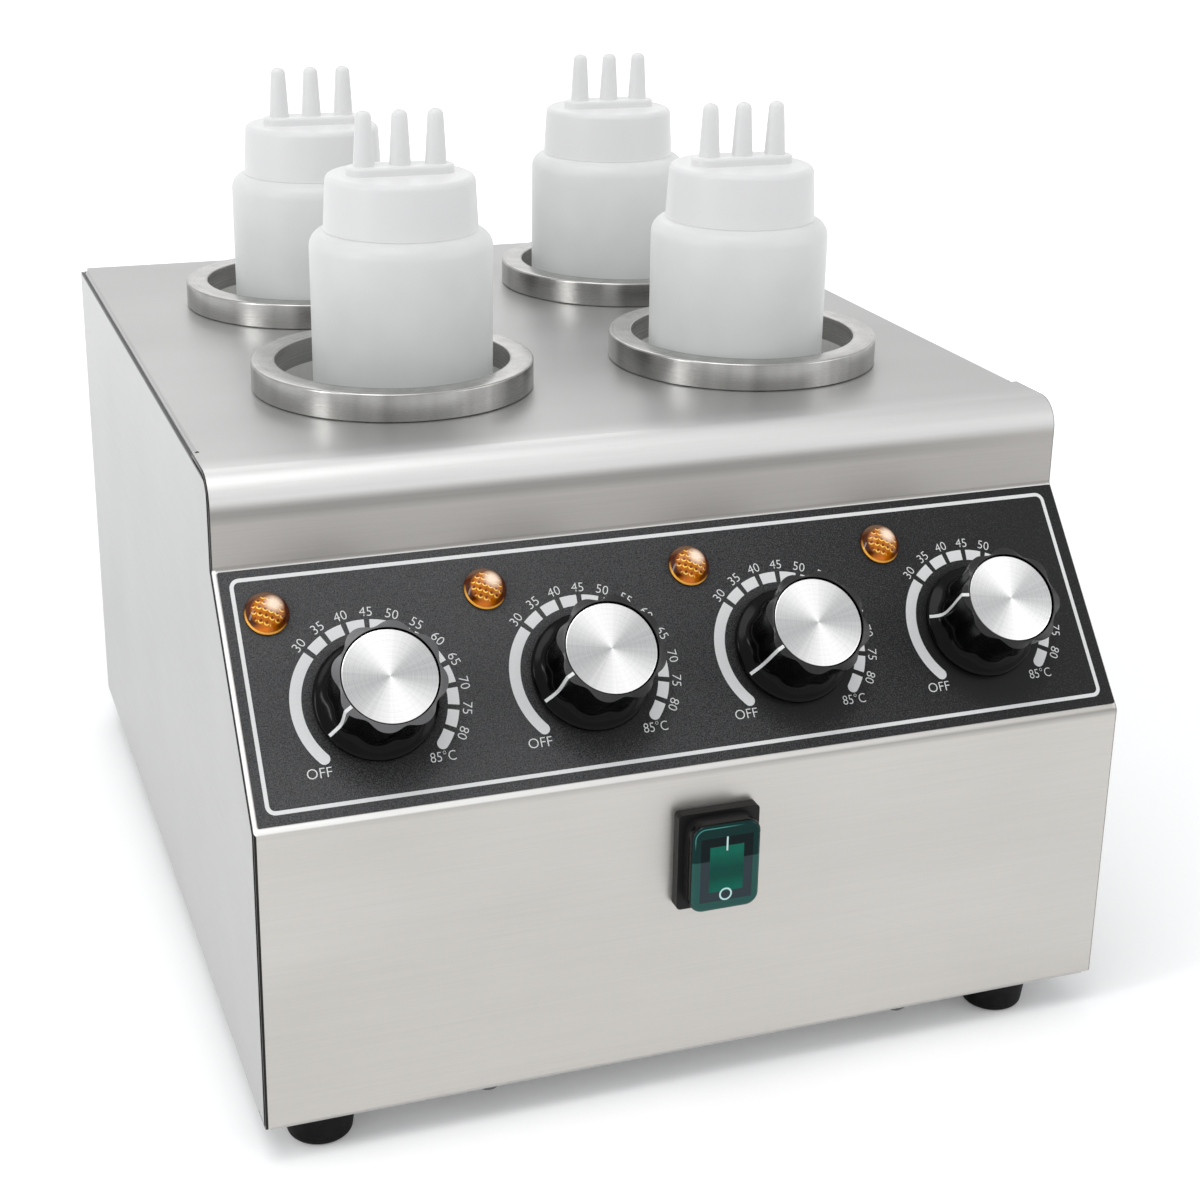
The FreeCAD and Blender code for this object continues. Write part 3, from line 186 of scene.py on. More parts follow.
def opened(piece, test):
    """Takes away the faces of a piece that pass a test."""
    pick(piece, test, "FACE")
    bpy.ops.mesh.delete(type="FACE")
    calm()


def round_ring(piece, radius, height, size, steps):
    """Rounds one ring-shaped edge of a turned form."""
    pick(piece, on_ring(radius, height), "EDGE")
    bpy.ops.mesh.bevel(offset=size, offset_type="OFFSET", segments=steps, affect="EDGES")
    calm()


def joined(pieces, name):
    """Several pieces made one."""
    calm()
    for piece in pieces:
        piece.select_set(True)
    bpy.context.view_layer.objects.active = pieces[0]
    bpy.ops.object.join()
    pieces[0].name = name
    return pieces[0]


def copy_of(piece, name):
    """A copy with a mesh of its own."""
    twin = piece.copy()
    twin.data = piece.data.copy()
    twin.name = name
    bpy.context.scene.collection.objects.link(twin)
    return twin


def smooth(piece, degrees):
    """Smooth shading, with edges sharper than an angle kept."""
    calm()
    piece.select_set(True)
    bpy.context.view_layer.objects.active = piece
    bpy.ops.object.shade_smooth_by_angle(angle=math.radians(degrees))
    calm()


def settle(piece, place, finish, body, replaces=None):
    """Notes a piece's own coordinates, moves its mesh into the frame and joins it to a body.

    A piece that has finishes of its own keeps them.
    """
    mesh = piece.data
    own = mesh.attributes.new("own", "FLOAT_VECTOR", "POINT")
    for v in mesh.vertices:
        own.data[v.index].vector = v.co
    mesh.transform(Matrix.Diagonal((MM, MM, MM, 1)) @ place)
    if not mesh.materials:
        mesh.materials.append(finish)
    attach(piece, body)
    if replaces:
        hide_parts(replaces)
    return piece


def panel_place(x, up, turn=0.0):
    """The place of a spot on the sloped panel: own Z points out of it, own Y up it."""
    slope = Matrix.Rotation(math.radians(90) - PANEL_TILT, 4, "X")
    base = CHIN + Vector((x, up * math.sin(PANEL_TILT), up * math.cos(PANEL_TILT)))
    return Matrix.Translation(base) @ slope @ Matrix.Rotation(turn, 4, "Z")


def front_place(x, z):
    """The place of a spot on the lower front: own Z points out of it, own Y up."""
    return Matrix.Translation((x, FRONT_Y, z)) @ Matrix.Rotation(math.radians(90), 4, "X")


def dial_x(index):
    """How far a dial stands from the middle of the panel."""
    return (index - 1.5) * DIAL_PITCH


# Finishes

def maths(operation, reflected=False):
    """A sum on sockets: a Math node of one operation, with its values in order."""
    def method(self, *others):
        values = (*others, self) if reflected else (self, *others)
        return self.nodes.add("Math", {"operation": operation}, dict(enumerate(values)))["Value"]
    return method


class Socket:
    """One value in a tree of nodes: sums on it become nodes."""

    def __init__(self, nodes, socket):
        self.nodes = nodes
        self.socket = socket

    __add__ = maths("ADD")
    __radd__ = maths("ADD", reflected=True)
    __sub__ = maths("SUBTRACT")
    __rsub__ = maths("SUBTRACT", reflected=True)
    __mul__ = maths("MULTIPLY")
    __rmul__ = maths("MULTIPLY", reflected=True)
    __truediv__ = maths("DIVIDE")
    __rtruediv__ = maths("DIVIDE", reflected=True)
    __pow__ = maths("POWER")
    __mod__ = maths("FLOORED_MODULO")
    __lt__ = maths("LESS_THAN")
    __gt__ = maths("GREATER_THAN")
    __abs__ = maths("ABSOLUTE")
    larger = maths("MAXIMUM")
    smaller = maths("MINIMUM")
    floored = maths("FLOOR")
    cosine = maths("COSINE")
    turn_from = maths("ARCTAN2")

    def limited(self):
        """The value kept between 0 and 1."""
        return self.nodes.add("Clamp", {}, {"Value": self})["Result"]


class Outputs:
    """The outputs of a node, by name or number."""

    def __init__(self, nodes, node):
        self.nodes = nodes
        self.node = node

    def __getitem__(self, name):
        return Socket(self.nodes, self.node.outputs[name])


class Nodes:
    """A tree of nodes that starts empty."""

    def __init__(self, tree):
        self.tree = tree
        self.tree.nodes.clear()

    def add(self, kind, settings=None, inputs=None):
        """Adds a node by type, with its settings first and then values or links."""
        node = self.tree.nodes.new("ShaderNode" + kind)
        for key, value in (settings or {}).items():
            setattr(node, key, value)
        for key, value in (inputs or {}).items():
            if isinstance(value, Socket):
                self.tree.links.new(value.socket, node.inputs[key])
            else:
                node.inputs[key].default_value = value
        return Outputs(self, node)


class Finish(Nodes):
    """A material of nodes, mixed for one kind of surface."""

    def __init__(self, name):
        self.material = bpy.data.materials.new(name)
        self.material.use_nodes = True
        super().__init__(self.material.node_tree)

    def place(self):
        """Position on the whole object, in millimetres."""
        point = self.add("TexCoord")["Object"]
        return self.add("VectorMath", {"operation": "SCALE"}, {0: point, "Scale": 1 / MM})["Vector"]

    def own(self):
        """Position on the piece itself, in millimetres, before it was placed."""
        return self.add("Attribute", {"attribute_name": "own"})["Vector"]

    def parts(self, vector):
        """The three numbers of a position."""
        split = self.add("SeparateXYZ", {}, {"Vector": vector})
        return split["X"], split["Y"], split["Z"]

    def vector(self, x, y=0.0):
        """A position from its numbers."""
        return self.add("CombineXYZ", {}, {"X": x, "Y": y})["Vector"]

    def scaled(self, vector, factors):
        """A position stretched along its axes."""
        return self.add("VectorMath", {"operation": "MULTIPLY"}, {0: vector, 1: factors})["Vector"]

    def noise(self, vector, scale=1.0, detail=2.0, roughness=0.5):
        """A soft random value from 0 to 1."""
        inputs = {"Vector": vector, "Scale": scale, "Detail": detail, "Roughness": roughness}
        return self.add("TexNoise", {}, inputs)["Fac"]

    def spread(self, value, low, high, bottom=0.0, top=1.0):
        """A value moved from one range to another, and kept inside it."""
        inputs = {"Value": value, 1: low, 2: high, 3: bottom, 4: top}
        return self.add("MapRange", {"clamp": True}, inputs)["Result"]

    def blend(self, share, first, second):
        """A colour between two colours."""
        return self.add("Mix", {"data_type": "RGBA"}, {0: share, 6: first, 7: second})[2]

    def bump(self, height, strength, distance):
        """Small relief from a height in millimetres."""
        inputs = {"Height": height, "Strength": strength, "Distance": distance * MM}
        return self.add("Bump", {}, inputs)["Normal"]

    def surface(self, colour, roughness, **inputs):
        """The shader at the end, with its values or links by socket name."""
        values = {"Base Color": colour, "Roughness": roughness}
        values.update({key.replace("_", " "): value for key, value in inputs.items()})
        shader = self.add("BsdfPrincipled", {}, values)
        self.add("OutputMaterial", {}, {"Surface": shader["BSDF"]})
        return self.material


def rgb(red, green, blue):
    """A colour from the 0 to 255 values that an eye would match it with."""
    values = []
    for part in (red, green, blue):
        share = part / 255
        values.append(share / 12.92 if share <= 0.04045 else ((share + 0.055) / 1.055) ** 2.4)
    return (*values, 1.0)


def distance(x, y):
    """How far a point lies from the middle."""
    return (x * x + y * y) ** 0.5


def side_edges(f, place, seam):
    """Where painted shade darkens a side panel's edges and bent tabs in the seam along the wrap."""
    reach = 2.3
    x, y, z = f.parts(place)
    past_panel = (y - FRONT_Y) * math.cos(PANEL_TILT) - (z - CHIN_Z) * math.sin(PANEL_TILT)
    past_wrap = past_panel.larger(y - FASCIA_Y).smaller(y - FRONT_Y).smaller(DECK_Z - z)
    dark = ((abs(x) < seam) + (past_wrap < reach)).limited()
    return dark * (y < REAR_Y - 3.0) * (z > BASE_Z + 1.0)


def brushed_sheet(name, pale, dark, along, rough, relief, metal=1.0, seam=0.0):
    """Sheet steel with fine brush lines along one axis and a slow change of tone, and painted shade
    along a seam where one is given.
    """
    f = Finish(name)
    place = f.place()
    lines = f.noise(f.scaled(place, along), 1.0, 3.0, 0.6)
    fine = f.noise(f.scaled(place, tuple(4 * a for a in along)), 1.0, 2.0, 0.6)
    cloud = f.noise(place, 0.012, 2.0, 0.5)
    grain = lines * 0.6 + fine * 0.4
    tone = (grain - 0.5) * 1.1 + (cloud - 0.5) * 0.9 + 0.5
    colour = f.blend(tone.limited(), dark, pale)
    # Painted shade in the seam beside the wrap, where a seam is given.
    if seam:
        colour = f.blend(side_edges(f, place, seam), colour, rgb(26, 26, 26))
    roughness = f.spread(grain, 0.3, 0.7, rough - 0.05, rough + 0.07)
    normal = f.bump(grain, 0.25, relief)
    return f.surface(colour, roughness, Metallic=metal, Normal=normal)


def with_fold_lines(f, colour, x, z):
    """Paints thin highlights and shade along the folds and the panel's side edges, finer than the lamps
    draw them.
    """
    leftward = f.spread(x, -HALF_WIDTH, HALF_WIDTH, 1.0, 0.0)
    chin_glint = f.spread(abs(z - (CHIN_Z + 0.7)), 0.6, 1.1, 0.85, 0.0) * leftward
    chin_shade = f.spread(abs(z - (CHIN_Z - 0.1)), 0.2, 2.4, 0.7, 0.0) * (1 - leftward) ** 0.6
    kink_glint = f.spread(abs(z - (KINK_Z - 0.6)), 0.15, 0.4, 0.6, 0.0)
    kink_shade = f.spread(abs(z - (KINK_Z + 0.4)), 0.3, 0.7, 0.4, 0.0)
    on_panel = (z > CHIN_Z) * (z < KINK_Z)
    side_glint = on_panel * (abs(x) > HALF_WIDTH - 1.5) * (leftward * 0.7 + 0.1)
    colour = f.blend((chin_shade + kink_shade).limited(), colour, rgb(118, 116, 113))
    return f.blend((chin_glint + kink_glint + side_glint).limited(), colour, rgb(253, 253, 252))


def with_dark_gaps(f, colour, x, y, z):
    """Paints shade into the gaps beside the side panels, and shade inside the casing."""
    ahead = y < REAR_Y - 29.0
    # Painted shade in the seam gaps, full on the left and weaker on the right.
    wider_low = f.spread(z, CHIN_Z - 0.5, CHIN_Z + 0.5, 1.0, 0.3)
    wider_high = f.spread(z, KINK_Z - 0.5, KINK_Z + 0.5, 0.0, 0.35)
    left_gap = x * -1.0 > HALF_WIDTH - wider_low - wider_high
    gaps = left_gap + (x > HALF_WIDTH - 0.5) * 0.6
    colour = f.blend(gaps.limited() * ahead, colour, rgb(44, 42, 40))
    # Painted shade on the inner faces of the casing.
    _, rearward, upward = f.parts(f.add("NewGeometry")["Normal"])
    inside = (rearward > 0.3) * ahead + (upward < -0.3) * (z > 60.0)
    return f.blend(inside.limited(), colour, rgb(24, 24, 24))


def wrap_sheet():
    """The wrap's brushed steel: lines across it, and a tone for front, fascia, bend and deck, with
    painted light and shade in them.
    """
    f = Finish("wrap_steel")
    place = f.place()
    x, y, z = f.parts(place)
    lines = f.noise(f.scaled(place, (0.015, 1.6, 1.6)), 1.0, 3.0, 0.6)
    fine = f.noise(f.scaled(place, (0.05, 7.0, 7.0)), 1.0, 2.0, 0.6)
    cloud = f.noise(f.scaled(place, (0.008, 0.02, 0.02)), 1.0, 2.0, 0.5)
    grain = lines * 0.5 + fine * 0.5
    tone = ((grain - 0.5) * 0.9 + (cloud - 0.5) * 0.8 + 0.5).limited()
    # Painted shade and highlight in one steel: the fascia and deck darker than the front, and the bend
    # paler, dimming to the right.
    front = f.blend(tone, rgb(183, 180, 175), rgb(207, 204, 200))
    fascia = f.blend(tone, rgb(162, 158, 154), rgb(184, 180, 176))
    deck = f.blend(tone, rgb(159, 159, 158), rgb(183, 183, 182))
    bend = f.blend(tone, rgb(196, 196, 195), rgb(218, 218, 217))
    bend = f.blend(f.spread(x, -90.0, 130.0, 0.0, 0.25), bend, rgb(150, 150, 149))
    in_front = y < 0.0
    above_panel = f.spread(z, KINK_Z - 32.0, KINK_Z - 4.0)
    into_bend = f.spread(z, BEND_Z - 1.5, BEND_Z + 2.0)
    onto_deck = f.spread(z, DECK_Z - 2.5, DECK_Z - 0.1) * f.spread(y, FASCIA_Y + 1.5, FASCIA_Y + 19.5)
    # A painted shade band under the bend, fading out to the right.
    shade_below_bend = f.spread(abs(z - (BEND_Z - 2.3)), 0.9, 3.6, 0.5, 0.0)
    shade_below_bend = shade_below_bend * f.spread(x, 50.0, 140.0, 1.0, 0.15) * in_front
    colour = f.blend(above_panel, front, fascia)
    colour = f.blend(into_bend, colour, bend)
    colour = f.blend(shade_below_bend, colour, rgb(120, 119, 116))
    colour = f.blend(onto_deck, colour, deck)
    colour = with_fold_lines(f, colour, x, z)
    colour = with_dark_gaps(f, colour, x, y, z)
    round_bend = into_bend * (1 - onto_deck) * in_front
    roughness = f.spread(grain, 0.3, 0.7, 0.28, 0.4) + round_bend * 0.14
    metal = f.spread(above_panel * (1 - into_bend), 0.0, 1.0, 0.94, 0.2) - into_bend * 0.24
    return f.surface(colour, roughness, Metallic=metal, Normal=f.bump(grain, 0.5, 0.03))


def screw_steel():
    """Plain zinc on the screws, with painted shade on those under the casing."""
    f = Finish("screw_metal")
    place = f.place()
    z = f.parts(place)[2]
    grain = f.noise(place, 1.5, 3.0, 0.6)
    colour = f.blend(grain, rgb(165, 165, 168), rgb(205, 205, 206))
    # Painted shade darkens the screws under the casing.
    colour = f.blend(f.spread(z, BASE_Z - 2.0, BASE_Z + 1.0, 1.0, 0.0), colour, rgb(96, 96, 97))
    return f.surface(colour, f.spread(grain, 0.3, 0.7, 0.22, 0.34), Metallic=1.0)


def ring_metal():
    """The rings' metal: fine lines from the lathe, painted reflections and shade on the outer side, and
    a bore painted darker as shade, less metallic.
    """
    f = Finish("collar_metal")
    own = f.own()
    x, y, z = f.parts(own)
    radius = distance(x, y)
    lines = f.noise(f.vector(radius * 9.0, z * 9.0), 1.0, 3.0, 0.6)
    around = f.noise(f.scaled(own, (0.16, 0.16, 0.02)), 1.0, 2.0, 0.5)
    # Painted reflections in broad stripes round the ring, strongest on the outer side.
    reflection_bands = f.noise(f.vector(x / radius, y / radius), 4.5, 2.0, 0.5)
    side = f.spread(radius, RING_RIM - 0.6, RING_RIM - 0.2)
    bore = f.spread(radius, RING_BORE + 0.1, RING_BORE + 0.9, 1.0, 0.0)
    tone = (lines - 0.5) * 0.5 + (around - 0.5) * 1.0 + (reflection_bands - 0.5) * (side * 1.2 + 0.2) + 0.5
    colour = f.blend(tone.limited(), rgb(158, 157, 155), rgb(206, 205, 203))
    # Painted shade on the outer side, and the bore painted a flat darker grey for the shade in the well.
    colour = f.blend(side * 0.3, colour, rgb(20, 20, 19))
    colour = f.blend(bore, colour, rgb(150, 148, 146))
    roughness = f.spread(lines, 0.3, 0.7, 0.22, 0.32)
    metal = f.spread(bore, 0.0, 1.0, 1.0, 0.4)
    return f.surface(colour, roughness, Metallic=metal, Normal=f.bump(lines, 0.3, 0.01))


def spun_disc():
    """Spun aluminium: grooves round the middle, and a painted fan of light like the one the grooves
    reflect.
    """
    f = Finish("spun_aluminium")
    x, y, _ = f.parts(f.own())
    radius = distance(x, y)
    # A painted reflection: the fan and radial lines, fixed on the disc so they turn with it.
    fan = (y.turn_from(x) * 2.0 - 3.5).cosine() * 0.45 + 0.5
    painted_streaks = f.noise(f.vector(x / radius, y / radius), 9.0, 3.0, 0.7)
    grooves = f.noise(f.vector(radius * 2.6), 1.0, 3.0, 0.7)
    tone = fan + (painted_streaks - 0.5) * 0.4 + (grooves - 0.5) * 0.55
    colour = f.blend(tone.limited(), rgb(174, 175, 176), rgb(248, 248, 248))
    roughness = f.spread(grooves, 0.3, 0.7, 0.24, 0.34)
    return f.surface(colour, roughness, Metallic=1.0, Normal=f.bump(grooves, 0.25, 0.02))


def membrane():
    """The panel's printed sheet: dark grey with a fine sandy grain, with painted shadow round the dials
    and painted shade towards the right.
    """
    f = Finish("membrane")
    place = f.place()
    sand = f.noise(place, 2.8, 4.0, 0.75)
    cloud = f.noise(place, 0.02, 2.0, 0.5)
    x, _, z = f.parts(place)
    from_dial = ((x / DIAL_PITCH + 2.0) % 1.0 - 0.5) * DIAL_PITCH - 1.5
    up = (z - CHIN_Z) / math.cos(PANEL_TILT) - DIAL_UP + 4.5
    shade = f.spread(distance(from_dial, up), 18.0, 27.0, 0.45, 0.0)
    # Painted shade darker towards the right, and painted shadow round each dial.
    tone = f.spread(sand, 0.36, 0.64) * 0.9 + cloud * 0.1 - f.spread(x, -60.0, 140.0) * 0.6 - shade
    colour = f.blend(tone.limited(), rgb(32, 32, 33), rgb(96, 96, 97))
    roughness = f.spread(sand, 0.3, 0.7, 0.42, 0.6)
    return f.surface(colour, roughness, Specular_IOR_Level=0.12, Normal=f.bump(sand, 0.35, 0.05))


def ink(name, first, second):
    """Pale screen print, with two shades in its grain."""
    f = Finish(name)
    sand = f.noise(f.place(), 2.4, 2.0, 0.6)
    return f.surface(f.blend(sand, first, second), 0.55)


def gloss_black(name, base, rough, shine):
    """Gloss moulded plastic with the faint marks of use."""
    f = Finish(name)
    place = f.place()
    marks = f.noise(f.scaled(place, (0.5, 0.5, 2.0)), 1.0, 4.0, 0.65)
    cloud = f.noise(place, 0.25, 2.0, 0.5)
    colour = f.blend(cloud, rgb(*base), rgb(*(b + 6 for b in base)))
    roughness = f.spread(marks, 0.35, 0.75, rough, rough + 0.1)
    return f.surface(colour, roughness, IOR=1.5, Specular_IOR_Level=shine)


def rim_black():
    """The flat tops of the knobs' lobes, with a painted reflection that makes them paler on the left."""
    f = Finish("knob_rim")
    place = f.place()
    x = f.parts(place)[0]
    marks = f.noise(place, 0.6, 3.0, 0.6)
    # Painted reflection: paler on the left, fading to near black on the right.
    across = f.spread(x + marks * 20.0, -100.0, -20.0)
    colour = f.blend(across, rgb(94, 94, 95), rgb(14, 14, 15))
    return f.surface(colour, f.spread(marks, 0.3, 0.7, 0.24, 0.36), Specular_IOR_Level=0.4)


def moulded(name, pale, dark, rough):
    """Matt moulded plastic with a fine spark texture."""
    f = Finish(name)
    sand = f.noise(f.place(), 1.6, 3.0, 0.6)
    colour = f.blend(sand, rgb(*dark), rgb(*pale))
    roughness = f.spread(sand, 0.3, 0.7, rough - 0.06, rough + 0.08)
    return f.surface(colour, roughness, Normal=f.bump(sand, 0.3, 0.03))


def frosted(name, pale, shade):
    """Frosted squeeze plastic that lets some light through, darker down in the well, and with painted
    light: it emits a little of its own colour.
    """
    f = Finish(name)
    place = f.place()
    z = f.parts(place)[2]
    cloud = f.noise(place, 0.05, 2.0, 0.5)
    sand = f.noise(place, 1.4, 3.0, 0.6)
    out_of_well = f.spread(z, DECK_Z - 7.0, DECK_Z + 50.0)
    tone = (out_of_well * 0.85 + cloud * 0.3 - 0.08).limited()
    colour = f.blend(tone, rgb(*shade), rgb(*pale))
    roughness = f.spread(sand, 0.3, 0.7, 0.36, 0.46)
    # Part of the colour is painted light: the plastic emits a little of its own colour, which evens out
    # its shading.
    return f.surface(
        f.blend(0.42, colour, rgb(0, 0, 0)), roughness, IOR=1.5, Specular_IOR_Level=0.3,
        Subsurface_Weight=0.35, Subsurface_Radius=(1.0, 1.0, 1.0), Subsurface_Scale=0.006,
        Emission_Color=colour, Emission_Strength=0.42, Normal=f.bump(sand, 0.15, 0.02))


def amber_lens():
    """Amber lens: slanting rows of curved facets in a dark body, with painted light: gold glints on the
    facets, a paler top, an orange lower part, a pale highlight and a bright lower rim.
    """
    f = Finish("amber_lens")
    x, y, z = f.parts(f.own())
    radius = distance(x, y)
    slant = math.radians(28)
    facet = 1.95
    along = x * math.cos(slant) - y * math.sin(slant)
    across = x * math.sin(slant) + y * math.cos(slant)
    rows = across / facet + 50.6
    u = ((along / facet + rows.floored() * 0.5 + 50.0) % 1.0 - 0.5) * facet
    v = (rows % 1.0 - 0.5) * facet
    reach = distance(u, v - 0.25)
    # The gold arcs are painted glints on the facets, and the darker hollows inside them painted shade.
    arc = f.spread(abs(reach - 0.72), 0.1, 0.26, 1.0, 0.0) * f.spread(v, -0.1, 0.2, 1.0, 0.0)
    hollow = f.spread(reach, 0.25, 0.6, 1.0, 0.0)
    inner = f.spread(radius, 4.6, 5.3, 1.0, 0.0)
    # The orange lower part, strongest on the left, is painted light, and the paler top a painted
    # reflection.
    low = f.spread(y, -5.6, -3.6, 0.95, 0.0) * f.spread(x, -1.0, 2.6, 1.0, 0.15)
    high = f.spread(y, 3.4, 5.6, 0.0, 0.8)
    # A painted highlight spot, and a painted glint on the lower rim.
    highlight_spot = f.spread(distance(x - 2.1, y - 2.0), 1.2, 3.6, 0.92, 0.0)
    lower_rim_glint = f.spread(radius, 6.5, 6.65) * f.spread(y + x * 0.5, -5.5, -1.0, 1.0, 0.0)
    stem = f.spread(z, 1.2, 1.5, 1.0, 0.0)
    colour = f.blend(f.spread(radius, 4.6, 5.6), rgb(172, 94, 14), rgb(70, 28, 4))
    colour = f.blend(hollow * inner * 0.8, colour, rgb(66, 26, 8))
    colour = f.blend(low, colour, rgb(222, 116, 6))
    colour = f.blend(high, colour, rgb(112, 86, 68))
    colour = f.blend(arc * inner, colour, rgb(255, 208, 92))
    colour = f.blend(highlight_spot, colour, rgb(248, 226, 204))
    colour = f.blend(lower_rim_glint, colour, rgb(244, 178, 74))
    colour = f.blend(stem, colour, rgb(64, 30, 8))
    return f.surface(
        colour, 0.12, IOR=1.5, Specular_IOR_Level=0.16, Coat_Weight=0.12, Coat_Roughness=0.03,
        Normal=f.bump(arc * inner, 0.5, 0.2), Emission_Color=colour, Emission_Strength=0.14)


def clear_cover():
    """The dark green see-through cover of the switch, with the lit window that shows in its face, a
    paler lower part as a painted reflection, and a painted glint near its top left edge.
    """
    f = Finish("switch_cover_clear")
    place = f.place()
    x, y, z = f.parts(place)
    side = abs(x)
    up = z - SWITCH_Z
    on_face = f.spread(FRONT_Y - y, COVER_FACE - 0.95, COVER_FACE - 0.6)
    # Below this height a painted reflection makes the border and frame paler.
    above_reflection = f.spread(up, 2.8, 3.1)
    cloud = f.noise(place, 0.12, 2.0, 0.5)
    border = f.blend(above_reflection, rgb(40, 84, 78), rgb(0, 44, 42))
    frame_tone = f.blend(above_reflection, rgb(46, 58, 64), rgb(0, 17, 19))
    from_middle = abs(up + 1.5) + cloud * 4.0
    window_tone = f.blend(f.spread(from_middle, 3.5, 9.0), rgb(0, 70, 60), rgb(0, 98, 80))
    in_frame = (side < 9.1) * (abs(up + 0.35) < 11.45)
    in_window = (side < 5.9) * (abs(up + 0.27) < 8.12)
    colour = f.blend(in_frame, border, frame_tone)
    colour = f.blend(in_window, colour, window_tone)
    past_corner = distance((side - 7.5).larger(0.0), (abs(up) - 11.0).larger(0.0))
    # A painted glint along the rounded top edge, stronger on the left.
    glint = f.spread(abs(past_corner - 3.5), 0.05, 0.18, 1.0, 0.0) * f.spread(up - x * 0.4, 12.0, 15.0)
    colour = f.blend(glint * 0.6, colour, rgb(104, 184, 176))
    colour = f.blend(on_face, rgb(16, 15, 15), colour)
    marks = f.noise(place, 0.6, 3.0, 0.6)
    roughness = f.spread(marks, 0.3, 0.8, 0.08, 0.2)
    return f.surface(colour, roughness, IOR=1.45, Specular_IOR_Level=0.15)


def lit_rocker():
    """The rocker: a green window in a near black frame."""
    f = Finish("rocker_green")
    place = f.place()
    x, _, z = f.parts(place)
    up = z - SWITCH_Z
    in_window = (abs(x) < 5.75) * (abs(up + 0.8) < 8.1)
    cloud = f.noise(place, 0.2, 2.0, 0.5)
    green = f.blend(f.spread(up + cloud * 3.0, -2.0, 5.0), rgb(0, 142, 110), rgb(0, 122, 92))
    return f.surface(f.blend(in_window, rgb(12, 16, 17), green), 0.3, Specular_IOR_Level=0.2)


def rubber():
    """Matt black rubber with a dusty bloom."""
    f = Finish("foot_rubber")
    place = f.place()
    dust = f.noise(place, 0.35, 4.0, 0.6)
    sand = f.noise(place, 2.5, 3.0, 0.6)
    colour = f.blend(f.spread(dust, 0.4, 0.75), rgb(9, 9, 10), rgb(24, 23, 22))
    return f.surface(colour, 0.6, Specular_IOR_Level=0.12, Normal=f.bump(sand, 0.4, 0.05))


wrap_steel = wrap_sheet()
side_steel = brushed_sheet(
    "side_steel", rgb(189, 189, 188), rgb(172, 172, 171), (1.2, 0.02, 1.2), 0.34, 0.006,
    seam=HALF_WIDTH - 0.07)
plain_steel = brushed_sheet(
    "plain_steel", rgb(196, 196, 196), rgb(170, 170, 170), (1.0, 0.05, 1.0), 0.4, 0.01)
cup_steel = brushed_sheet(
    "cup_steel", rgb(244, 242, 240), rgb(214, 212, 209), (0.6, 0.6, 0.03), 0.4, 0.01, metal=0.2)
heater_metal = brushed_sheet(
    "heater_metal", rgb(170, 160, 145), rgb(120, 112, 100), (0.4, 0.4, 0.4), 0.42, 0.01)
shaft_metal = brushed_sheet(
    "shaft_metal", rgb(208, 186, 130), rgb(168, 146, 96), (2.0, 2.0, 2.0), 0.3, 0.01)
collar_metal = ring_metal()
screw_metal = screw_steel()
disc_metal = spun_disc()
membrane_print = membrane()
white_ink = ink("white_ink", rgb(208, 209, 209), rgb(228, 228, 228))
mark_ink = ink("mark_ink", rgb(176, 214, 212), rgb(198, 232, 230))
knob_black = gloss_black("knob_black", (3, 3, 4), 0.14, 0.1)
knob_rim = rim_black()
switch_black = gloss_black("switch_black", (20, 19, 19), 0.4, 0.2)
bottle_plastic = frosted("bottle_plastic", (216, 217, 216), (170, 174, 172))
cap_plastic = frosted("cap_plastic", (217, 217, 217), (206, 207, 207))
lens_amber = amber_lens()
cover_clear = clear_cover()
rocker_green = lit_rocker()
foot_rubber = rubber()
gland_black = moulded("gland_black", (40, 40, 41), (22, 22, 23), 0.45)
sleeve_black = moulded("sleeve_black", (34, 34, 35), (18, 18, 19), 0.5)
body_dark = moulded("thermostat_body", (66, 62, 58), (42, 40, 38), 0.5)
block_pale = moulded("block_pale", (226, 222, 208), (200, 196, 182), 0.5)


def dress(names, finish):
    """Gives frame nodes their finish."""
    for name in names:
        for slot in nodes[name].material_slots:
            slot.material = finish


dress(["wrap_cover"], wrap_steel)
dress(["side_panel_left", "side_panel_right"], side_steel)
dress(["back_panel", "base_plate"], plain_steel)
dress(["casing_screws", "foot_screws", "thermostat_screws", "gland_nut"], screw_metal)
dress(["foot_" + well for well in WELLS], foot_rubber)
dress(["well_cup_" + well for well in WELLS], cup_steel)
dress(["band_heater_" + well for well in WELLS], heater_metal)
dress(["thermostat_" + dial for dial in DIALS], body_dark)
dress(["thermostat_shaft_" + dial for dial in DIALS], shaft_metal)
dress(["lamp_bodies"], sleeve_black)
dress(["switch_housing"], switch_black)
dress(["switch_rocker"], rocker_green)
dress(["switch_cover"], cover_clear)
dress(["cable_gland"], gland_black)
dress(["terminal_block"], block_pale)


# Rings round the wells

def collar():
    """One thick ring, with rounded edges and a lip that reaches down past the cup's flange."""
    flange, lip = 47.8, -0.72
    profile = [
        (RING_BORE, 0), (flange, 0), (flange, lip), (RING_RIM - 0.4, lip), (RING_RIM, lip + 0.42),
        (RING_RIM, RING_HEIGHT), (RING_BORE, RING_HEIGHT), (RING_BORE, 0)]
    ring = turned("collar", profile, 128)
    round_ring(ring, RING_RIM, RING_HEIGHT, 0.8, 4)
    round_ring(ring, RING_BORE, RING_HEIGHT, 0.6, 3)
    smooth(ring, 30)
    return ring


first_collar = collar()
for well in WELLS:
    ring = copy_of(first_collar, "ring_" + well)
    settle(ring, Matrix.Translation(middle("well_collar_" + well)), collar_metal, "casing",
           "well_collar_" + well)
bpy.data.objects.remove(first_collar)


# Bottles and caps

CAP_UP = 196.7
CAP_TOP = 19.2
PAD_TOP = 22.2
NOZZLE_PITCH = 12.9


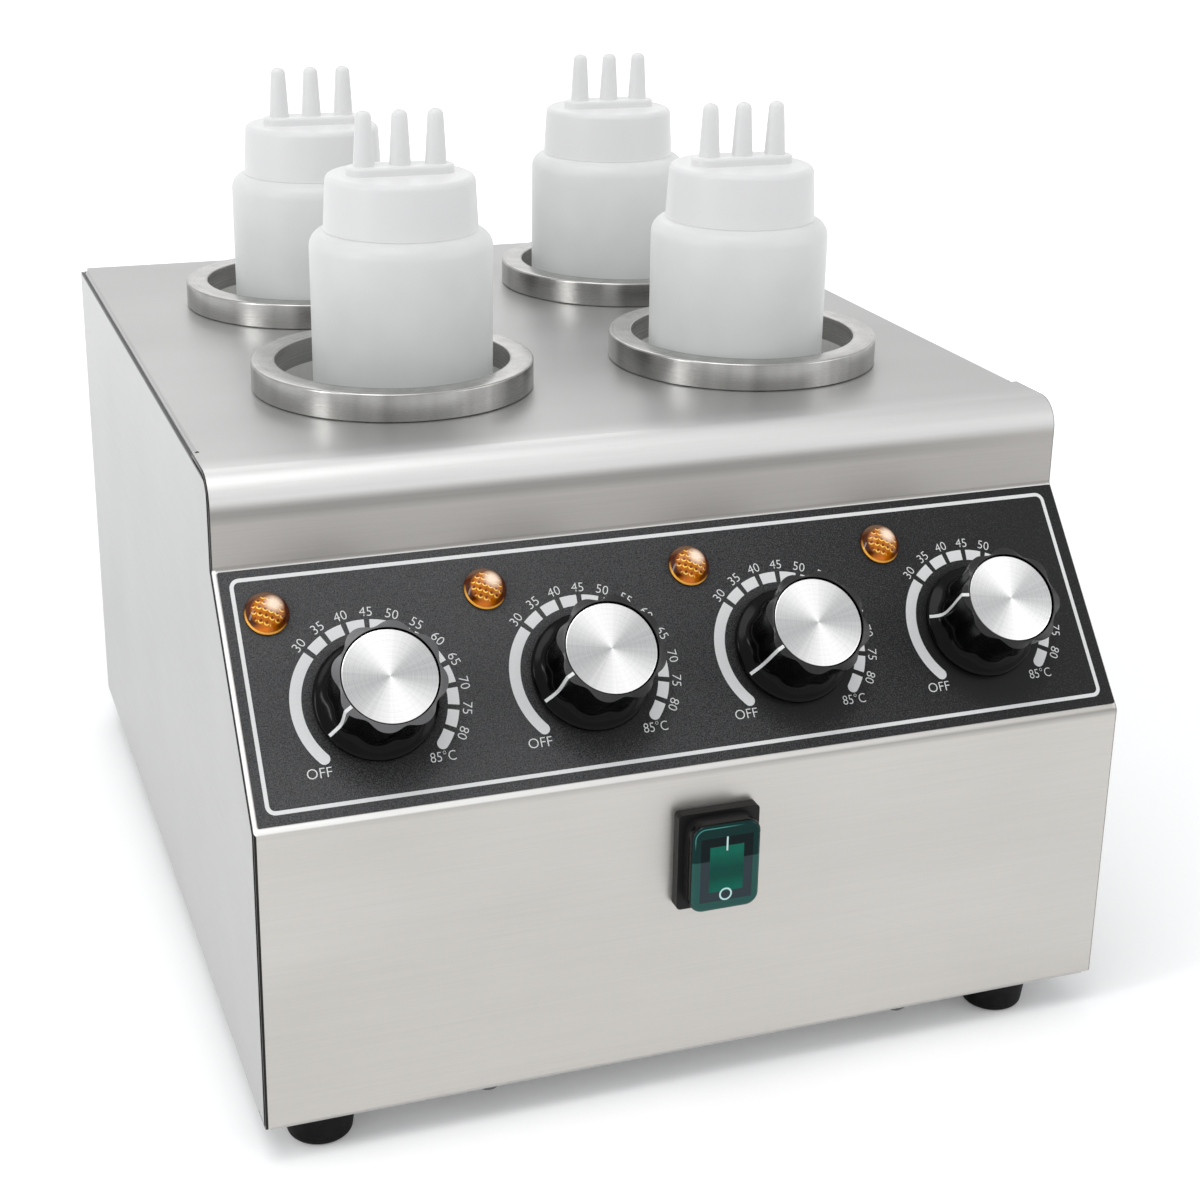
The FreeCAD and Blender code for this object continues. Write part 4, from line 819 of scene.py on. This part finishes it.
def bottle():
    """One squeeze bottle: an even wall under a round shoulder, and a screw thread on the neck."""
    base, shoulder, shoulder_up, neck, top = 31.6, 32.4, 196.5, 24.4, 212
    profile = [(base, 0), (shoulder, shoulder_up), (neck, shoulder_up), (neck, top)]
    shell = turned("bottle", profile, 128)
    round_ring(shell, base, 0, 4, 5)
    round_ring(shell, shoulder, shoulder_up, 6, 8)
    opened(shell, lambda f: f.center.z > top - 0.1)
    modified(shell, "SOLIDIFY", thickness=1.2, offset=-1)
    thread = new_piece(
        bpy.ops.mesh.primitive_circle_add, vertices=3, radius=0.55,
        location=(neck + 0.1, 0, shoulder_up + 2.5), rotation=(math.radians(90), 0, 0))
    bpy.ops.object.transform_apply()
    modified(thread, "SCREW", angle=math.radians(360), screw_offset=4, iterations=2, steps=72, axis="Z")
    edit(thread)
    seal()
    whole = joined([shell, thread], "bottle")
    smooth(whole, 30)
    return whole


def nozzle(x):
    """One tapered nozzle with a rounded tip and its outlet."""
    tip, tip_up = 2.7, 41.2
    cone = turned("nozzle", [(3.9, PAD_TOP - 1), (tip, tip_up)], 32)
    round_ring(cone, tip, tip_up, 2.1, 6)
    pick(cone, lambda f: f.normal.z > 0.9, "FACE")
    bpy.ops.mesh.inset(thickness=0.25)
    bpy.ops.mesh.extrude_region_move(TRANSFORM_OT_translate={"value": (0, 0, -4)})
    calm()
    cone.data.transform(Matrix.Translation((x, 0, 0)))
    return cone


def cap():
    """One screw cap: a tapered shell, a raised pad and three nozzles."""
    skirt, crown, pad_half = 27.3, 26.2, 6.5
    shell = turned("cap", [(skirt, 0), (crown, CAP_TOP)], 128)
    round_ring(shell, crown, CAP_TOP, 2.2, 6)
    opened(shell, lambda f: f.center.z < 0.1)
    modified(shell, "SOLIDIFY", thickness=2.0, offset=-1)
    pad = turned("pad", [(pad_half, CAP_TOP - 1), (pad_half, PAD_TOP)], 64)
    for side in (-1, 1):
        pick(pad, lambda p: p.x * side > 0.01)
        bpy.ops.transform.translate(value=(side * NOZZLE_PITCH, 0, 0))
    pick(pad, lambda p: p.z > PAD_TOP - 0.1, "EDGE")
    bpy.ops.mesh.bevel(offset=1.0, segments=4, affect="EDGES")
    calm()
    nozzles = [nozzle(x) for x in (-NOZZLE_PITCH, 0, NOZZLE_PITCH)]
    whole = joined([shell, pad, *nozzles], "cap")
    smooth(whole, 30)
    return whole


first_bottle = bottle()
first_cap = cap()
for well in WELLS:
    place = middle("bottle_" + well)
    settle(copy_of(first_bottle, "squeeze_bottle_" + well), Matrix.Translation(place), bottle_plastic,
           "bottle_" + well + "_body", "bottle_" + well)
    settle(copy_of(first_cap, "nozzle_cap_" + well), Matrix.Translation(place + Vector((0, 0, CAP_UP))),
           cap_plastic, "cap_" + well + "_body", "bottle_cap_" + well)
bpy.data.objects.remove(first_bottle)
bpy.data.objects.remove(first_cap)


# Knobs

LOBES = 8
POINTS_PER_LOBE = 12
KNOB_RINGS = (
    # radius of the lobes' tops, height, depth of the hollows between them
    (19.4, 1.3, 0.0), (20.0, 1.8, 0.0), (20.0, 2.9, 0.0), (19.5, 3.6, 0.0), (18.4, 4.1, 0.0),
    (16.9, 4.9, 0.2), (15.9, 6.2, 0.7), (15.6, 8.0, 1.1), (15.7, 10.5, 1.4), (16.2, 15.0, 1.65),
    (17.0, 20.0, 1.85), (17.7, 25.2, 1.95), (17.9, 26.1, 1.95),
)
KNOB_TOP = KNOB_RINGS[-1][1]
RECESS = ((15.5, 26.6), (15.3, 26.6), (15.3, 24.85))
DISC_UP = 25.0
POINTER_STEPS = (
    # radius and height, from the disc to the skirt's edge
    (15.55, 26.64), (17.8, 26.2), (17.86, 25.6), (17.08, 20), (16.28, 15), (15.78, 10.5),
    (15.68, 8.1), (15.97, 6.3), (16.96, 5.0), (18.4, 4.2), (19.5, 3.68),
)


def from_lobe(height, steps):
    """Tests whether a point lies on a ring of the knob, so many steps from the top of a lobe."""
    step_angle = 2 * math.pi / (LOBES * POINTS_PER_LOBE)

    def test(p):
        turns = round((math.atan2(p.y, p.x) + math.pi / 2) / step_angle) % POINTS_PER_LOBE
        return abs(p.z - height) < 0.01 and min(turns, POINTS_PER_LOBE - turns) == steps
    return test


def knob():
    """One skirted knob: rings drawn up from the skirt, and hollows pressed in between its lobes."""
    outside = [(radius, height) for radius, height, _ in KNOB_RINGS]
    piece = turned("knob", [*outside, (15.65, 26.5), *RECESS], LOBES * POINTS_PER_LOBE)
    half_lobe = POINTS_PER_LOBE // 2
    for radius, height, depth in KNOB_RINGS:
        if not depth:
            continue
        for step in range(1, half_lobe + 1):
            share = (1 - math.cos(math.pi * step / half_lobe)) / 2
            ratio = 1 - depth * (0.4 * share + 0.6 * share ** 2) / radius
            pick(piece, from_lobe(height, step))
            bpy.ops.transform.resize(value=(ratio, ratio, 1), center_override=(0, 0, height))
    for radius, height in RECESS:
        pick(piece, on_ring(radius, height), "EDGE")
        bpy.ops.transform.edge_crease(value=0.9)
    pick(piece, lambda p: abs(p.z - KNOB_TOP) < 0.01, "EDGE")
    bpy.ops.transform.edge_crease(value=0.75)
    calm()
    modified(piece, "SUBSURF", levels=2, render_levels=2)
    smooth(piece, 40)
    piece.data.materials.append(knob_black)
    piece.data.materials.append(knob_rim)
    for face in piece.data.polygons:
        if face.center.z > KNOB_TOP - 0.3 and face.normal.z > 0.5:
            face.material_index = 1
    return piece


def pointer():
    """The painted line from the disc over one lobe to the skirt's edge."""
    width = 1.1
    line = new_piece(bpy.ops.mesh.primitive_plane_add, size=width)
    pick(line, lambda p: p.y > 0)
    bpy.ops.mesh.delete(type="VERT")
    bpy.ops.mesh.select_all(action="SELECT")
    radius, height = POINTER_STEPS[0]
    bpy.ops.transform.translate(value=(0, width / 2 - radius, height))
    at = Vector((0, -radius, height))
    for radius, height in POINTER_STEPS[1:]:
        to = Vector((0, -radius, height))
        bpy.ops.mesh.extrude_region_move(TRANSFORM_OT_translate={"value": to - at})
        at = to
    modified(line, "SOLIDIFY", thickness=0.12, offset=0)
    smooth(line, 40)
    return line


def disc():
    """One spun disc with a fine chamfer, its face parted in rings for even shading."""
    radius, thick = 14.85, 1.1
    plate = turned("disc", [(radius, 0), (radius, thick)], 96)
    round_ring(plate, radius, thick, 0.25, 2)
    pick(plate, lambda f: f.normal.z > 0.99, "FACE")
    for amount in (0.12, 2.0, 3.0, 3.0, 3.0):
        bpy.ops.mesh.inset(thickness=amount)
    calm()
    smooth(plate, 30)
    return plate


first_knob = knob()
first_pointer = pointer()
first_disc = disc()
for index, dial in enumerate(DIALS):
    place = panel_place(dial_x(index), DIAL_UP, -math.radians(DIAL_RESTS[index]))
    body = "dial_" + dial
    settle(copy_of(first_knob, "dial_knob_" + dial), place, knob_black, body, "knob_" + dial)
    settle(copy_of(first_pointer, "dial_pointer_" + dial), place, white_ink, body)
    raised = panel_place(dial_x(index), DIAL_UP) @ Matrix.Translation((0, 0, DISC_UP))
    settle(copy_of(first_disc, "dial_disc_" + dial), raised, disc_metal, body,
           "knob_disc_" + dial)
for piece in (first_knob, first_pointer, first_disc):
    bpy.data.objects.remove(piece)


# Pilot lamps

def lens():
    """One lamp lens: a rim, a domed cap drawn in ring by ring, and the stem behind it."""
    stem, stem_end, rim, rim_low, rim_high = 5.2, -8.5, 7.05, 0.5, 1.3
    dome_low, dome_top, dome_share, steps = 1.5, 5.1, 0.985, 12
    rise = dome_top - dome_low
    sphere = (rim ** 2 + rise ** 2) / (2 * rise)
    profile = [(stem, stem_end), (stem, rim_low), (rim, rim_low), (rim, rim_high)]
    for step in range(steps):
        angle = math.asin(rim / sphere) * (1 - step / steps)
        height = dome_top - sphere + sphere * math.cos(angle)
        profile.append((sphere * math.sin(angle) * dome_share, height))
    piece = turned("lens", profile, 64)
    smooth(piece, 30)
    return piece


first_lens = lens()
for index, dial in enumerate(DIALS):
    settle(copy_of(first_lens, "amber_lens_" + dial), panel_place(dial_x(index) - LAMP_LEFT, LAMP_UP),
           lens_amber, "casing", "lamp_lens_" + dial)
bpy.data.objects.remove(first_lens)


# The panel's sheet

def cut_by(piece, cutter):
    """Takes one form out of another."""
    modified(piece, "BOOLEAN", operation="DIFFERENCE", object=cutter)
    bpy.data.objects.remove(cutter)


def sheet_on_panel():
    """The printed sheet: nearly sharp corners, and holes for shafts and lamps."""
    width, run, middle_x, middle_up, corner = 297.5, 81.85, 0.55, 42.925, 0.6
    shaft_hole, lamp_hole = 5.0, 6.0
    piece = new_piece(bpy.ops.mesh.primitive_plane_add, size=1)
    edit(piece)
    bpy.ops.mesh.select_all(action="SELECT")
    bpy.ops.transform.resize(value=(width, run, 1))
    bpy.ops.transform.translate(value=(middle_x, middle_up, OVERLAY / 2))
    bpy.ops.mesh.bevel(offset=corner, segments=3, affect="VERTICES")
    modified(piece, "SOLIDIFY", thickness=OVERLAY, offset=0)
    for index in range(len(DIALS)):
        x = dial_x(index)
        for radius, place in ((shaft_hole, (x, DIAL_UP, 0)), (lamp_hole, (x - LAMP_LEFT, LAMP_UP, 0))):
            cutter = new_piece(
                bpy.ops.mesh.primitive_cylinder_add, vertices=32, radius=radius, depth=4, location=place)
            bpy.ops.object.transform_apply()
            cut_by(piece, cutter)
    return piece


settle(sheet_on_panel(), panel_place(0, 0), membrane_print, "casing", "panel_overlay")


# Prints on the panel

def band(inner, outer, start, end):
    """A flat band round a dial between two angles, counted clockwise from straight down."""
    piece = new_piece(bpy.ops.mesh.primitive_plane_add, size=outer - inner)
    pick(piece, lambda p: p.x > 0)
    bpy.ops.mesh.delete(type="VERT")
    bpy.ops.mesh.select_all(action="SELECT")
    bpy.ops.transform.translate(value=((outer - inner) / 2, -(inner + outer) / 2, 0))
    bpy.ops.transform.rotate(value=math.radians(start), orient_axis="Z", center_override=(0, 0, 0))
    steps = max(2, int((end - start) / 2.5))
    bpy.ops.mesh.spin(steps=steps, angle=math.radians(end - start), center=(0, 0, 0), axis=(0, 0, 1))
    calm()
    return piece


def round_end(inner, outer, at, onward):
    """The half round that closes a band at an angle, before its start or after its end."""
    piece = new_piece(
        bpy.ops.mesh.primitive_circle_add, vertices=32, radius=(outer - inner) / 2, fill_type="TRIFAN")
    pick(piece, lambda p: p.x < -0.01)
    bpy.ops.mesh.delete(type="VERT")
    calm()
    angle = math.radians(at)
    turn = math.pi - angle if onward else -angle
    spot = Vector((-math.sin(angle), -math.cos(angle), 0)) * (inner + outer) / 2
    piece.data.transform(Matrix.Translation(spot) @ Matrix.Rotation(turn, 4, "Z"))
    return piece


def printed(body, size, x, y, turn=0.0, wide=1.0):
    """Words or figures in thin strokes as a flat mesh, at a place on the dial."""
    text = new_piece(bpy.ops.object.text_add)
    text.data.body = body
    text.data.size = size
    text.data.align_x = "CENTER"
    text.data.align_y = "CENTER"
    text.data.resolution_u = 3
    text.data.offset = -0.045
    bpy.ops.object.convert(target="MESH")
    turned_to = Matrix.Rotation(turn, 4, "Z") @ Matrix.Diagonal((wide, 1, 1, 1))
    text.data.transform(Matrix.Translation((x, y, 0)) @ turned_to)
    return text


def dial_scale():
    """One dial's print: an arc from off, stepped up to the top figure, and the figures."""
    inner, outer, figures_at = 23.0, 26.7, 29.1
    start, end, mark_start, mark_step, half_gap = 49.3, 311.4, 135, 16.36, 1.9
    figures = range(30, 81, 5)
    marks = [mark_start + mark_step * i for i in range(len(figures))]
    pieces = [band(inner, outer, start, marks[0] - half_gap), round_end(inner, outer, start, False)]
    for low, high in zip(marks, marks[1:] + [end + half_gap]):
        pieces.append(band(inner, outer, low + half_gap, high - half_gap))
    pieces.append(round_end(inner, outer, end, True))
    for figure, mark in zip(figures, marks):
        angle = math.radians(mark)
        x, y = -figures_at * math.sin(angle), -figures_at * math.cos(angle)
        pieces.append(printed(str(figure), 4.5, x, y, math.pi - angle))
    pieces.append(printed("OFF", 4.7, -21.05, -20.6))
    pieces.append(printed("85°C", 4.6, 18.0, -20.7, wide=0.89))
    return joined(pieces, "scale")


def rim_line():
    """The white line near the sheet's edge: a rounded frame."""
    width, length, corner, thick = 290.3, 76.0, 3.1, 1.3
    piece = new_piece(bpy.ops.mesh.primitive_plane_add, size=1)
    piece.name = "overlay_line"
    edit(piece)
    bpy.ops.mesh.select_all(action="SELECT")
    bpy.ops.transform.resize(value=(width, length, 1))
    bpy.ops.mesh.bevel(offset=corner, segments=6, affect="VERTICES")
    bpy.ops.mesh.inset(thickness=thick)
    bpy.ops.mesh.delete(type="FACE")
    calm()
    return piece


LINE_UP = 43.2

first_scale = dial_scale()
lifted = Matrix.Translation((0, 0, OVERLAY + PRINT_LIFT))
for index, dial in enumerate(DIALS):
    place = panel_place(dial_x(index), DIAL_UP) @ lifted
    settle(copy_of(first_scale, "dial_scale_" + dial), place, white_ink, "casing")
bpy.data.objects.remove(first_scale)
settle(rim_line(), panel_place(0, LINE_UP) @ lifted, white_ink, "casing")


# Switch marks

def switch_marks():
    """The stroke and ring printed on the switch's cover."""
    stroke = new_piece(bpy.ops.mesh.primitive_plane_add, size=1)
    stroke.data.transform(Matrix.Translation((0, 8.6, 0)) @ Matrix.Diagonal((0.6, 5.0, 1, 1)))
    ring = band(1.65, 2.25, 0, 360)
    ring.data.transform(Matrix.Translation((0, -9.6, 0)))
    return joined([stroke, ring], "switch_marks")


on_cover = front_place(0, SWITCH_Z) @ Matrix.Translation((0, 0, COVER_FACE + PRINT_LIFT))
settle(switch_marks(), on_cover, mark_ink, "casing")


# Camera, light and floor

def camera():
    """The camera that took the photograph, fitted from the casing's corners, in radians and metres."""
    yaw, pitch, roll = -0.3528, -0.3387, 0.0167
    across = math.cos(pitch)
    forward = Vector((-math.sin(yaw) * across, math.cos(yaw) * across, math.sin(pitch)))
    right = Vector((math.cos(yaw), math.sin(yaw), 0))
    up = right.cross(forward)
    tilted_right = right * math.cos(roll) + up * math.sin(roll)
    tilted_up = up * math.cos(roll) - right * math.sin(roll)
    eye = new_piece(bpy.ops.object.camera_add, location=(-0.2493, -0.7461, 0.4140))
    turn = Matrix((tilted_right, tilted_up, -forward)).transposed()
    eye.matrix_world = Matrix.Translation(eye.location) @ turn.to_4x4()
    eye.data.lens = 63.07
    eye.data.sensor_width = 36
    eye.data.shift_x = 0.0044
    eye.data.shift_y = -0.0611
    eye.data.clip_start = 0.01
    bpy.context.scene.camera = eye


def lamp(place, aim, size, power, tall=None):
    """A large soft lamp, square or as tall as given, with its sizes in metres."""
    light = new_piece(bpy.ops.object.light_add, type="AREA", location=place)
    light.data.size = size
    if tall:
        light.data.shape = "RECTANGLE"
        light.data.size_y = tall
    light.data.energy = power
    light.rotation_euler = (Vector(aim) - Vector(place)).to_track_quat("-Z", "Y").to_euler()


def sky():
    """An even pale sky that the camera, glossy and clear rays see as white."""
    world = bpy.data.worlds.new("studio")
    bpy.context.scene.world = world
    world.use_nodes = True
    air = Nodes(world.node_tree)
    path = air.add("LightPath")
    seen = path["Is Camera Ray"].larger(path["Is Glossy Ray"].larger(path["Is Transmission Ray"]))
    white = air.add("Background", {}, {"Color": (1, 1, 1, 1), "Strength": 1.0})["Background"]
    soft = air.add("Background", {}, {"Color": (0.96, 0.98, 1.0, 1), "Strength": 0.6})["Background"]
    mix = air.add("MixShader", {}, {0: seen, 1: soft, 2: white})["Shader"]
    air.add("OutputWorld", {}, {"Surface": mix})


def floor():
    """A wide pale floor that reads as white to the camera, apart from the object's shadow."""
    ground = new_piece(bpy.ops.mesh.primitive_plane_add, size=14)
    ground.name = "floor"
    f = Finish("floor_white")
    path = f.add("LightPath")
    seen = path["Is Camera Ray"].larger(path["Is Glossy Ray"])
    x, y, _ = f.parts(f.place())
    far = f.spread(distance(x, y), 350.0, 1400.0, 0.12, 0.6)
    ground.data.materials.append(
        f.surface(rgb(246, 246, 246), 0.9, Emission_Color=(1, 1, 1, 1), Emission_Strength=seen * far))


camera()
sky()
floor()
# Overhead, a tall strip on the left, low on the right, and behind
lamp(place=(-0.45, -0.4, 1.9), aim=(0, 0, 0.15), size=1.1, power=13)
lamp(place=(-1.3, -0.4, 0.72), aim=(0, -0.1, 0.2), size=0.2, power=6, tall=0.9)
lamp(place=(1.5, -1.05, 0.8), aim=(0, 0, 0.15), size=1.0, power=6)
lamp(place=(0.3, 1.6, 1.6), aim=(0, 0, 0.2), size=1.2, power=5)

bpy.context.scene.view_settings.view_transform = "Standard"
